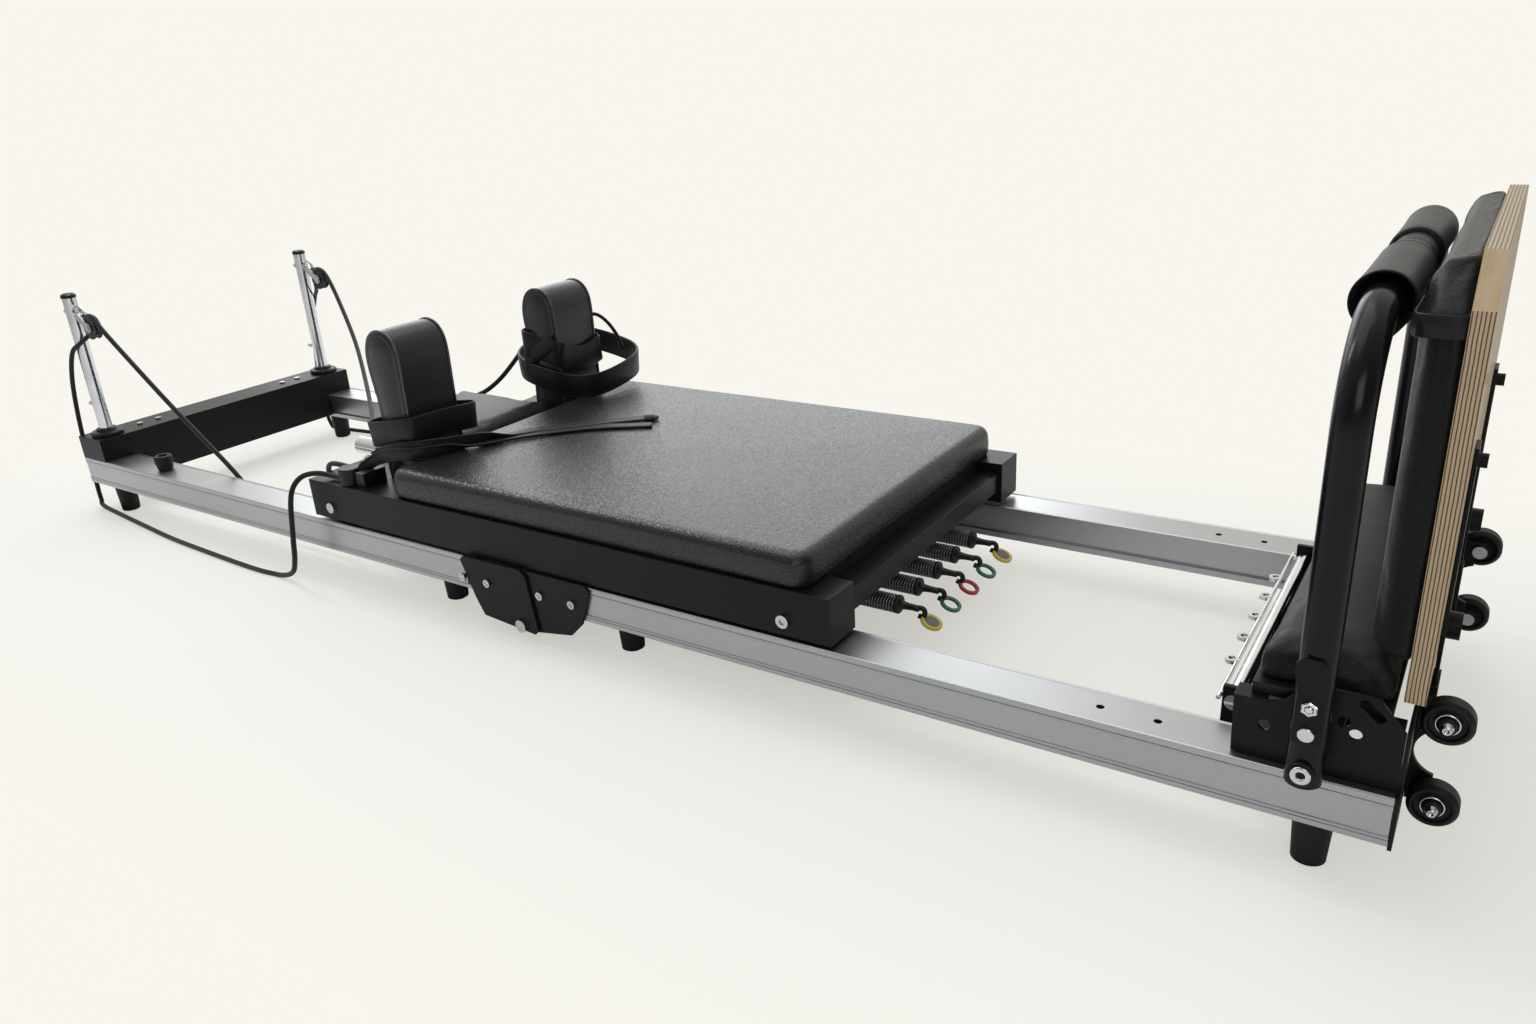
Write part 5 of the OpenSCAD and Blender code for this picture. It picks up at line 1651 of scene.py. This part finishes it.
@dataclass(frozen=True)
class SpringSet:
    """The five springs under the carriage's foot end, with their hooks.

    Attributes:
        count: How many springs.
        step: The distance between neighbours.
        start: Where the coil starts along the rails.
        height: The height of the coils' axis.
        radius: The coil's outer radius.
        wire: The wire's radius.
        turns: Turns of a coil.
        turn_points: Points of the wire's path in a turn.
        pitch: Length of one turn.
        lead: Where the wire starts and ends straight, before the coil.
    """

    count: int = 5
    step: float = 60.0
    start: float = 1690.0
    height: float = 40.0
    radius: float = 13.0
    wire: float = 1.9
    turns: int = 22
    turn_points: int = 16
    pitch: float = 4.36
    lead: Pair = (1666.0, 1676.0)

    def coil(self, y: float) -> list[Vector]:
        """The wire's path: a straight lead, the turns and the end in the collar.

        Args:
            y: The spring's place across the machine.

        Returns:
            The points of the path.
        """
        r = self.radius - self.wire
        path = [row(x, y, self.height + r - 6) for x in self.lead]
        for i in range(self.turns * self.turn_points + 1):
            a = 2 * math.pi * i / self.turn_points
            x = self.start + self.pitch * i / self.turn_points
            path.append(row(x, y + r * math.sin(a), self.height + r * math.cos(a)))
        return path

    def hook(self, draft: MeshDraft, y: float) -> None:
        """Adds the collar and the hook at a spring's outer end.

        Args:
            draft: The mesh that it goes into.
            y: The spring's place across the machine.
        """
        end = self.start + self.pitch * self.turns
        centre = row(end, y, self.height)
        collar = [(0.3, 9.5), (0.5, 12.4), (1.5, 13.0), (5.5, 13.0), (6.5, 12.2), (8.5, 8.0), (10, 6.2)]
        neck = [(13, 5.4), (20, 4.6), (27, 4.4), (33, 4.6), (34.5, 3.0)]
        draft.turned(centre, Axis.X, [(mm(a), mm(r)) for a, r in (*collar, *neck)], 24)
        bend = [(31, 0), (35, 1.4), (39, 1.5), (41.8, -1), (42.6, -5), (40.6, -9), (37, -11), (33.4, -10.2)]
        draft.tube(smoothed([row(end + x, y, self.height + z) for x, z in bend], 5), mm(3.6), 12)

    def set_up(self) -> None:
        """Makes the springs and their hooks."""
        wires, hooks = MeshDraft(), MeshDraft()
        for k in range(self.count):
            y = (k - (self.count - 1) / 2) * self.step
            wires.tube(self.coil(y), mm(self.wire), 8)
            self.hook(hooks, y)
        # The coils' wire is dark steel painted lighter: partly painted light against the shade under the
        # carriage
        put_on(wires.build("spring_coils", SPRING_WIRE_PAINTED_LIGHTER), "carriage", "dark_spring_steel", "springs")
        put_on(hooks.build("spring_hooks", PLASTIC), "carriage", "black_plastic")


# Foot end


@dataclass(frozen=True)
class FootEndPadding:
    """The platform's pad, the jumpboard's pad and the footbar's sleeves.

    Attributes:
        stand: The platform's pad along the rails: its two ends.
        stand_up: The height of its under side.
        board_x: The jumpboard's face that its pad lies on, along the rails.
        half: Half the width of either pad.
        low: The jump pad's lower edge.
        high: Its upper edge.
        cut: How much of its upper corners is cut away.
        bar: The footbar's axis: along the rails, and its height.
        sleeves: For each sleeve its two ends across the machine and its radius.
        droop: How far a cover's lap hangs at its open end.
        droop_turn: The direction of that lap round the bar.
    """

    stand: Pair = (2263.0, 2385.0)
    stand_up: float = 130.6
    board_x: float = 2391.7
    half: float = 261.0
    low: float = 175.0
    high: float = 545.5
    cut: float = 42.0
    bar: Pair = (2322.0, 500.0)
    sleeves: tuple[Point, ...] = ((-214.0, -36.0, 27.0), (-35.5, 45.5, 22.0), (46.0, 214.0, 27.0))
    droop: float = 7.0
    droop_turn: float = -1.45

    def platform(self, swelling: Swelling) -> None:
        """Makes the standing platform's pad.

        Args:
            swelling: The simulation that swells its pads.
        """
        made = Cushion(
            "platform_cover",
            Outline.box(self.stand[0], -self.half, self.stand[1], self.half, 14),
            thick=34,
            crown=4,
            roll=14,
            under=4,
            pull=1.5,
            place=lambda u, v, w: (u, v, self.stand_up + w),
            wrinkle=ripple(1.3, 46, 5.0),
        ).make(COARSE_VINYL, "foot_frame", "black_vinyl", "platform_pad")
        held = row(0, 0, 133.5).z
        swelling.add(made, 4.0, lambda p: p.z < held)

    def jump_pad(self, swelling: Swelling) -> None:
        """Makes the jumpboard's pad, which faces the head end.

        Args:
            swelling: The simulation that swells its pads.
        """
        half, top, cut_top = self.half, self.high, self.high - self.cut
        lower = ((-half, self.low), (half, self.low))
        upper = ((half, cut_top), (half - self.cut, top), (-half + self.cut, top), (-half, cut_top))
        made = Cushion(
            "jumpboard_cover",
            Outline((*lower, *upper), 11),
            thick=31.5,
            crown=3,
            roll=14,
            under=4,
            pull=1.5,
            place=lambda u, v, w: (self.board_x - w, -u, v),
            wrinkle=self.chamfer_creases,
        ).make(COARSE_VINYL, "jumpboard", "black_vinyl", "jumpboard_pad")
        held = row(2388.5, 0, 0).x
        swelling.add(made, 4.5, lambda p: p.x > held)

    @staticmethod
    def chamfer_creases(u: float, v: float, w: float) -> float:
        """Creases that run in from the chamfered corners, and a slow unevenness.

        Args:
            u: The outline's first value.
            v: Its second value.
            w: The height over the outline.

        Returns:
            How far the place sinks.
        """
        depth, fade, spokes = 1.6, 34, 9
        chamfer_u, chamfer_v = 240.0, 524.0
        sink = 0.3 * noise.noise(Vector((u / 70, v / 70, w / 50 + 2.0)))
        for sign in (-1, 1):
            du, dv = u - sign * chamfer_u, v - chamfer_v
            reach = math.hypot(du, dv)
            around = math.atan2(dv, du * sign)
            sink += depth * math.exp(-reach / fade) * math.sin(spokes * around + 0.05 * reach + sign)
        return sink

    def sleeve(self, number: int) -> None:
        """Makes one padded sleeve of the footbar: an outer one has an open bell, the middle one a seam.

        Args:
            number: Which sleeve, from the near side.
        """
        y0, y1, r = self.sleeves[number]
        length = y1 - y0
        # Each point of an end's profile: distance from the end, radius, share of the lap
        bell = [(30, 17.8, 0.0), (26, 22.5, 0.2), (12, 24.6, 0.6), (1.2, 25.6, 1.0), (0.2, 26.6, 1.0)]
        bell += [(0.4, 27.6, 1.0), (1.6, 28.0, 1.0), (9, 27.9, 0.9), (24, 27.4, 0.6), (50, 27.0, 0.25)]
        ring = [(0, 17.8, 0.0), (0, r - 3.4, 0.0), (0.5, r - 1.4, 0.0), (2.4, r, 0.0), (9, r + 0.1, 0.0)]
        ring += [(10, r - 1.1, 0.0), (11, r + 0.1, 0.0)]
        seamed = number == 1
        first = bell if number == 0 else ring
        last = [(length - s, q, f) for s, q, f in reversed(bell if number == 2 else ring)]
        spans, start, end = 22, first[-1][0], last[0][0]
        middle = []
        for k in range(1, spans):
            share = k / spans
            along = start + (end - start) * share
            dent = 0.5 * noise.noise(Vector((along / 30 + number, 0.4, 0.0)))
            dent += 0.5 * math.sin(math.pi * share)
            if seamed:
                dent += 1.5 * math.exp(-(((along - length / 2) / 1.6) ** 2))
            middle.append((along, min(r, first[-1][1]) - 0.6 * dent, 0.12 * (1 - share)))
        rings = []
        for along, radius, droop in (*first, *middle, *last):
            points = []
            for t in round_turn(64):
                away = math.atan2(math.sin(t - self.droop_turn), math.cos(t - self.droop_turn))
                lap = 0.0 if seamed else self.droop * droop * math.exp(-((away / 0.42) ** 2))
                x = self.bar[0] + (radius + lap) * math.cos(t)
                points.append(row(x, y0 + along, self.bar[1] + (radius + lap) * math.sin(t)))
            rings.append(points)
        draft = MeshDraft()
        draft.loft(rings)
        made = draft.build(f"footbar_sleeve_{number}", FOAM)
        put_on(made, "footbar", "black_foam")
        if number == 0:
            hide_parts("footbar_sleeves")

    def set_up(self, swelling: Swelling) -> None:
        """Makes all of it.

        Args:
            swelling: The simulation that swells its pads.
        """
        self.platform(swelling)
        self.jump_pad(swelling)
        for number in range(len(self.sleeves)):
            self.sleeve(number)


# Straps


@dataclass(frozen=True)
class Straps:
    """The hand straps at the shoulder rests, their clips and the strap round the jumpboard.

    Attributes:
        loop_mid: Middle of the far hand loop, in the machine's frame.
        loop_half: Its half length along the rails and across.
        loop_slope: How it rises along the rails and across.
        loop_power: How square it is: 1 for an ellipse, less for squarer corners.
        tie_up: The height of the strap round the jumpboard.
    """

    loop_mid: Point = (933.0, 217.0, 217.0)
    loop_half: Pair = (103.0, 101.5)
    loop_slope: Pair = (-0.17, 0.097)
    loop_power: float = 0.77
    tie_up: float = 493.0

    def belt(
        self,
        name: str,
        points: Sequence[Point],
        size: Pair,
        edge: float,
        looped: bool = True,
        lean: float = 0.0,
    ) -> Piece:
        """Makes a belt that stands on its edge.

        Args:
            name: The piece's name.
            points: The points of its middle line.
            size: Its width and thickness.
            edge: The radius of the binding along its edges.
            looped: Whether it closes on itself.
            lean: How far its upper edge leans outwards.

        Returns:
            The belt.
        """
        path = smoothed([row(*p) for p in points], 6, looped)
        middle = sum(path, Vector()) / len(path)
        ups = []
        for p in path:
            out = Vector((p.x - middle.x, p.y - middle.y, 0.0)).normalized()
            ups.append((Vector((0, 0, 1)) + lean * out).normalized())
        draft = MeshDraft()
        draft.band(path, ups, mm(size[0]), mm(size[1]), looped=looped)
        self.bind(draft, path, ups, size[0] / 2 - 0.4, edge, looped)
        return put_on(draft.build(name, LEATHER), "carriage", "black_webbing")

    @staticmethod
    def bind(
        draft: MeshDraft,
        path: Line,
        ups: Line,
        half: float,
        radius: float,
        looped: bool = False,
    ) -> None:
        """Adds the round binding along both edges of a band.

        Args:
            draft: The mesh that holds the band.
            path: The band's middle line.
            ups: The direction across the band at each point.
            half: How far a binding's middle is from the band's, in millimetres.
            radius: The binding's radius.
            looped: Whether the band closes on itself.
        """
        for sign in (-1, 1):
            line = [p + sign * mm(half) * up for p, up in zip(path, ups, strict=True)]
            draft.tube(line, mm(radius), 8, looped=looped)

    def near_belts(self) -> None:
        """Makes the tight turn and the loose outer turn round the near rest."""
        inner = [(894, -230.5, 205), (935, -231, 205), (974, -230.5, 206), (975, -175, 206)]
        inner += [(974, -119.5, 206), (935, -119, 205), (894, -119.5, 204), (893, -175, 204)]
        self.belt("near_belt_inner", self.cornered(inner), (20, 3), edge=1.4)
        outer = [(882, -235, 199), (905, -240, 202), (935, -241, 207), (965, -240, 213), (987, -234, 217)]
        outer += [(992, -212, 217.5), (996, -180, 217), (1002, -142, 215), (1003, -118, 213)]
        outer += [(988, -108, 212), (950, -112.5, 208), (915, -115, 204), (890, -120, 200)]
        outer += [(883, -140, 198), (880, -180, 197.5), (878, -215, 198)]
        self.belt("near_belt_outer", outer, (42, 3), edge=1.3, lean=0.06)

    @staticmethod
    def cornered(points: Sequence[Point]) -> list[Point]:
        """Adds points beside each point so that a smooth line keeps its corners, slightly rounded.

        Args:
            points: The corners of a closed line.

        Returns:
            The points of the new line.
        """
        made, count, reach = [], len(points), 7.0
        for i in range(count):
            before, here, after = (Vector(points[(i + k) % count]) for k in (-1, 0, 1))
            inwards = (before - here).normalized() + (after - here).normalized()
            made.append(tuple(here.lerp(before, min(0.5, reach / max(reach, (before - here).length)))))
            made.append(tuple(here + 1.5 * inwards))
            made.append(tuple(here.lerp(after, min(0.5, reach / max(reach, (after - here).length)))))
        return made

    def far_belts(self) -> None:
        """Makes the two turns that cross on the far rest's near side."""
        wide = [(892, 119, 272), (935, 118.5, 264), (976, 119, 256), (979, 150, 243), (979.5, 182, 235)]
        wide += [(978, 215, 240), (974, 231.5, 245), (935, 232, 252), (893, 231.5, 262), (889, 175, 270)]
        self.belt("far_belt_wide", wide, (46, 3), edge=1.3)
        thin = [(880, 160, 222), (889, 121, 233), (905, 115.5, 243), (930, 115, 257), (958, 115, 272)]
        self.belt("far_belt_cross", [*thin, (972, 116, 279)], (26, 2.4), edge=1.1, looped=False)

    def far_loop(self) -> None:
        """Makes the padded hand loop round the far rest, and the cord that holds it behind."""
        x, y, z = self.loop_mid
        a, b = self.loop_half
        sx, sy = self.loop_slope
        points = []
        for t in round_turn(20):
            u = a * math.copysign(abs(math.cos(t)) ** self.loop_power, math.cos(t))
            v = b * math.copysign(abs(math.sin(t)) ** self.loop_power, math.sin(t))
            points.append((x + u, y + v, z + sx * u + sy * v + 1.5 * math.sin(3 * t + 0.6)))
        loop = self.belt("far_hand_loop", points, (39, 5), edge=2.6, lean=0.06)
        cord = [(935, 233, 300), (958, 234.5, 305), (976, 238, 303), (990, 247, 287), (1000, 257, 262)]
        draft = MeshDraft()
        draft.tube(smoothed([row(*p) for p in [*cord, (1003, 264, 238)]], 6), mm(3.4), 10)
        put_on(draft.build("far_loop_cord", LEATHER), "carriage", "black_webbing")

    def tail(self) -> None:
        """Makes the near strap's doubled tail, from its clip past the rest and over the pad."""
        upper = [(880, -262, 147), (889, -254, 157), (912, -248.5, 171), (955, -248, 185)]
        upper += [(993, -236, 190), (1016, -195, 187), (1034, -146, 182), (1056, -92, 177.4)]
        upper += [(1084, -48, 176.2), (1118, -14, 176), (1152, 20, 176), (1186, 52, 176), (1219, 80, 176)]
        lower = [(880, -266, 143), (889, -258.5, 153), (912, -252.5, 166), (955, -252, 178)]
        lower += [(994, -242, 181), (1012, -212, 179), (1024, -176, 176.6), (1045, -130, 175)]
        lower += [(1072, -88, 174.9), (1100, -54, 174.9), (1138, -16, 174.9), (1176, 12, 174.9)]
        lower += [(1208, 30, 174.9), (1241, 50, 174.9)]
        flat, over = Vector((0.66, -0.75, 0.0)), 0.16
        # Past a share of its length a band turns from standing to lying flat, over a further share
        for number, (route, turn_at) in enumerate(((upper, 0.42), (lower, 0.3))):
            path = smoothed([row(*p) for p in route], 8)
            along = lengths_along(path)
            ups = []
            for s in along:
                share = min(1.0, max(0.0, (s / along[-1] - turn_at) / over))
                share = share * share * (3 - 2 * share)
                ups.append(Vector((0, 0, 1)).lerp(flat, share).normalized())
            draft = MeshDraft()
            draft.band(path, ups, mm(19), mm(3.6))
            self.bind(draft, path, ups, 9.2, 2.1)
            made = draft.build(f"near_strap_tail_{number}", LEATHER)
            put_on(made, "carriage", "black_webbing")
            if number == 0:
                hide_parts("hand_straps")
        self.stitched_end(row(*upper[-1]), row(*upper[-2]))

    @staticmethod
    def stitched_end(tip: Vector, before: Vector) -> None:
        """Makes the whipped end of the tail: a row of thread turns and a knob.

        Args:
            tip: The tail's tip.
            before: The point of its middle line before the tip.
        """
        ahead = (tip - before).normalized()
        side = Vector((0, 0, 1)).cross(ahead)

        def oval(middle: Vector, wide: float, high: float) -> list[Vector]:
            """Points round an oval that stands across the tail.

            Args:
                middle: Its middle.
                wide: Half its width.
                high: Half its height.

            Returns:
                The oval's points.
            """
            return [
                middle + wide * math.cos(t) * side + Vector((0, 0, high * math.sin(t)))
                for t in round_turn(16)
            ]

        threads, spans = 7, 6
        draft = MeshDraft()
        for k in range(threads):
            thread = oval(tip + ahead * mm(2.4 * k - 13), mm(10.6), mm(3.6))
            draft.tube(thread, mm(1.3), 6, looped=True)
        rings = []
        for k in range(spans + 1):
            a = math.pi * k / spans
            wide = max(0.05, math.sin(a))
            rings.append(oval(tip + ahead * mm(5 - 6 * math.cos(a)), mm(9) * wide, mm(3.2) * wide))
        draft.loft(rings)
        put_on(draft.build("near_tail_end", THREAD), "carriage", "black_webbing")

    def clip(self, name: str, start: Point, end: Point) -> None:
        """Makes a snap clip between a rope's end and a strap.

        Args:
            name: The piece's name.
            start: Where the rope ends.
            end: Where the strap begins.
        """
        a, b = row(*start), row(*end)
        ahead = (b - a).normalized()
        side = ahead.cross(Vector((0, 0, 1))).normalized()
        up = side.cross(ahead)
        draft = MeshDraft()
        barrel = [(-3, 5.2), (-2, 6.2), (6, 6.4), (8, 5.4), (9, 3.4), (12, 3.0), (13, 3.8), (15, 3.8)]
        rings = []
        for s, r in (*barrel, (16, 2.4)):
            middle = a + mm(s) * ahead
            rings.append([middle + mm(r) * (math.cos(t) * side + math.sin(t) * up) for t in round_turn(20)])
        draft.loft(rings)
        eye = []
        for t in round_turn(24):
            wide = 8.5 + 2.0 * math.cos(t)
            eye.append(a + mm(15 + 13 * (1 - math.cos(t))) * ahead + mm(wide) * math.sin(t) * up)
        draft.tube(eye, mm(2.3), 10, looped=True)
        put_on(draft.build(name, CHROME), "carriage", "chrome")

    def tie(self) -> None:
        """Makes the strap from behind the jumpboard's pad round its edge to the footbar's sleeve."""
        z = self.tie_up
        route = [(2391.2, -252, z), (2390.4, -262, z), (2386, -267.4, z), (2373, -268.5, z)]
        route += [(2357.8, -266, z), (2351, -247, z - 2), (2350.5, -205, z - 4), (2350.5, -165, z - 5)]
        path = smoothed([row(*p) for p in route], 6)
        draft = MeshDraft()
        ups = [Vector((0, 0, 1))] * len(path)
        draft.band(path, ups, mm(18), mm(2.4))
        self.bind(draft, path, ups, 8.8, 1.4)
        put_on(draft.build("tie_webbing", LEATHER), "jumpboard", "black_webbing", "tie_strap")

    def set_up(self) -> None:
        """Makes all of them."""
        self.near_belts()
        self.far_belts()
        self.far_loop()
        self.tail()
        self.clip("near_clip", (872, -262, 141), (884, -258, 152))
        self.clip("far_clip", (800, 201, 230), (820, 213, 236))
        self.tie()


@dataclass(frozen=True)
class Hardware:
    """Hubs, bolt heads and washers that stand on the frame's plain solids.

    Attributes:
        wheels: The transport wheels' nodes.
        pivot: The footbar's pivot: along the rails, and its height.
        latch_reach: How far the latch's pin stands over the pivot, and its second bolt over the pin.
        discs: How far the two disc pulls stand from the middle spring.
        disc_mid: A disc's middle: along the rails, and its height.
        disc_tilt: How far a disc leans, in degrees.
        disc_face: The profile of a disc's face: height over its middle, and radius.
    """

    wheels: tuple[str, ...] = (
        "transport_wheel_upper_near", "transport_wheel_lower_near",
        "transport_wheel_upper_far", "transport_wheel_lower_far",
    )
    pivot: Pair = (2322.0, 76.0)
    latch_reach: Pair = (46.0, 27.0)
    discs: Pair = (-120.0, 120.0)
    disc_mid: Pair = (1838.0, 24.0)
    disc_tilt: float = 24.0
    disc_face: tuple[Pair, ...] = (
        (1.1, 10.3), (1.7, 10.3), (1.85, 9.6), (1.6, 8.6), (1.6, 3.0), (1.6, 0.3),
    )

    @staticmethod
    def across(
        draft: MeshDraft, middle: Vector, out: float, profile: Sequence[Pair], sides: int
    ) -> None:
        """Adds a piece turned about a line across the machine.

        Args:
            draft: The mesh that it goes into.
            middle: The place that the profile is counted from.
            out: Which way is outwards: -1 on the near side, 1 on the far one.
            profile: Pairs of a distance outwards and a radius, in metres.
            sides: Points round the piece.
        """
        draft.turned(middle, Axis.Y, [(out * a, r) for a, r in profile], sides)

    def hub(self, number: int) -> None:
        """Makes one wheel's bearing ring, collar and bolt.

        Args:
            number: Which wheel.
        """
        node = self.wheels[number]
        low, high = (Vector(c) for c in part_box(node))
        middle = (low + high) / 2
        sign = -1.0 if middle.y < 0 else 1.0
        half = (high.y - low.y) / 2
        ring, collar, bolt = MeshDraft(), MeshDraft(), MeshDraft()
        rim = [(half - 0.0045, 0.0088), (half - 0.0012, 0.0092), (half - 0.0008, 0.0102)]
        rim += [(half - 0.0012, 0.0112), (half - 0.0035, 0.0118), (half - 0.0048, 0.0118)]
        self.across(ring, middle, sign, rim, 40)
        cover = [(half - 0.004, 0.0086), (half + 0.0034, 0.0084), (half + 0.0042, 0.0074)]
        self.across(collar, middle, sign, [*cover, (half + 0.0042, 0.002)], 32)
        head = [(half + 0.004, 0.0058), (half + 0.006, 0.0058), (half + 0.0062, 0.0046)]
        head += [(half + 0.0105, 0.0046), (half + 0.0115, 0.0038), (half + 0.0115, 0.0022)]
        self.across(bolt, middle, sign, [*head, (half + 0.0095, 0.0018)], 24)
        put_on(ring.build(f"wheel_bearing_{number}", CHROME), f"{node}_body", "chrome")
        put_on(collar.build(f"wheel_collar_{number}", PLASTIC), "foot_frame", "black_plastic")
        put_on(bolt.build(f"wheel_bolt_{number}", CHROME), "foot_frame", "chrome")

    def pivot_washer(self, side: Side) -> None:
        """Makes the boss and the washer of one footbar pivot.

        Args:
            side: The machine's side that it's on.
        """
        low, high = (Vector(c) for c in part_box("foot_frame_bolts"))
        face = low.y if side is Side.NEAR else high.y
        middle = row(self.pivot[0], 0, self.pivot[1])
        middle.y = face
        out = float(side.value)
        boss, washer = MeshDraft(), MeshDraft()
        disc = [(-0.0034, 0.0126), (0.0006, 0.0126), (0.0012, 0.0118), (0.0012, 0.002)]
        self.across(boss, middle, out, disc, 40)
        ring = [(0.001, 0.0094), (0.0028, 0.0094), (0.0034, 0.0088), (0.0034, 0.0048), (0.0028, 0.0042)]
        self.across(washer, middle, out, [*ring, (0.0008, 0.0042)], 40)
        put_on(boss.build(f"pivot_boss_{side.name.lower()}", BLACK_STEEL), "foot_frame", "black_coated_steel")
        put_on(washer.build(f"pivot_washer_{side.name.lower()}", CHROME), "foot_frame", "chrome")

    def latch_bolts(self, side: Side) -> None:
        """Makes the bright pin head and nut on one latch.

        Args:
            side: The machine's side that it's on.
        """
        node = f"footbar_latch_{side.name.lower()}"
        low, high = (Vector(c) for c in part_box(node))
        face = low.y if side is Side.NEAR else high.y
        out = float(side.value)
        pin_z = self.pivot[1] + self.latch_reach[0]
        draft = MeshDraft()
        middle = row(self.pivot[0], 0, pin_z)
        middle.y = face
        cap = [(-0.0036, 0.0073), (0.0006, 0.0073), (0.0012, 0.0066), (0.0014, 0.002)]
        self.across(draft, middle, out, cap, 28)
        nut = middle + Vector((0, 0, mm(self.latch_reach[1])))
        nut_body = [(-0.004, 0.0078), (-0.0006, 0.0078), (0.0, 0.0068), (0.0, 0.0046), (-0.001, 0.0038)]
        self.across(draft, nut, out, nut_body, 6)
        stud = [(-0.003, 0.0036), (0.0008, 0.0034), (0.0014, 0.0026), (0.0014, 0.001)]
        self.across(draft, nut, out, stud, 20)
        made = draft.build(f"latch_bolts_{side.name.lower()}", CHROME, smooth=False)
        put_on(made, f"latch_{side.name.lower()}", "chrome")

    def disc_faces(self) -> None:
        """Makes the grey faces set into the two yellow discs."""
        draft = MeshDraft()
        turn = math.radians(self.disc_tilt)
        normal = Vector((math.sin(turn), 0, math.cos(turn)))
        along = Vector((math.cos(turn), 0, -math.sin(turn)))
        for y in self.discs:
            middle = row(self.disc_mid[0], y, self.disc_mid[1])
            for sign in (-1, 1):
                side = Vector((0, sign, 0))
                rings = []
                for lift, r in self.disc_face:
                    spot = middle + sign * mm(lift) * normal
                    rings.append(
                        [spot + mm(r) * (math.cos(t) * along + math.sin(t) * side) for t in round_turn(32)]
                    )
                draft.loft(rings)
        put_on(draft.build("disc_faces", GREY_DISC), "carriage", "grey_plastic")

    def set_up(self) -> None:
        """Makes all of it."""
        for number in range(len(self.wheels)):
            self.hub(number)
        for side in Side:
            self.pivot_washer(side)
            self.latch_bolts(side)
        self.disc_faces()


def dress_nodes(frame: dict[str, Any]) -> None:
    """Gives every node of the frame its finish.
    """
    for part in frame["record"]["subparts"]:
        node = frame["nodes"][part["node"]]
        finish = OWN_FINISHES.get(part["node"], SLOT_FINISHES[part["material_slot"]])
        node.data.materials.clear()
        node.data.materials.append(finish.material())


def main() -> None:
    """Builds the scene, class by class."""
    logging.basicConfig(level=logging.INFO, format="%(message)s")
    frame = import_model()
    Studio().set_up()
    Ropes().set_up()
    swelling = Swelling()
    CarriageUpholstery().set_up(swelling)
    SpringSet().set_up()
    FootEndPadding().set_up(swelling)
    swelling.run()
    Straps().set_up()
    Hardware().set_up()
    dress_nodes(frame)


if __name__ == "__main__":
    main()
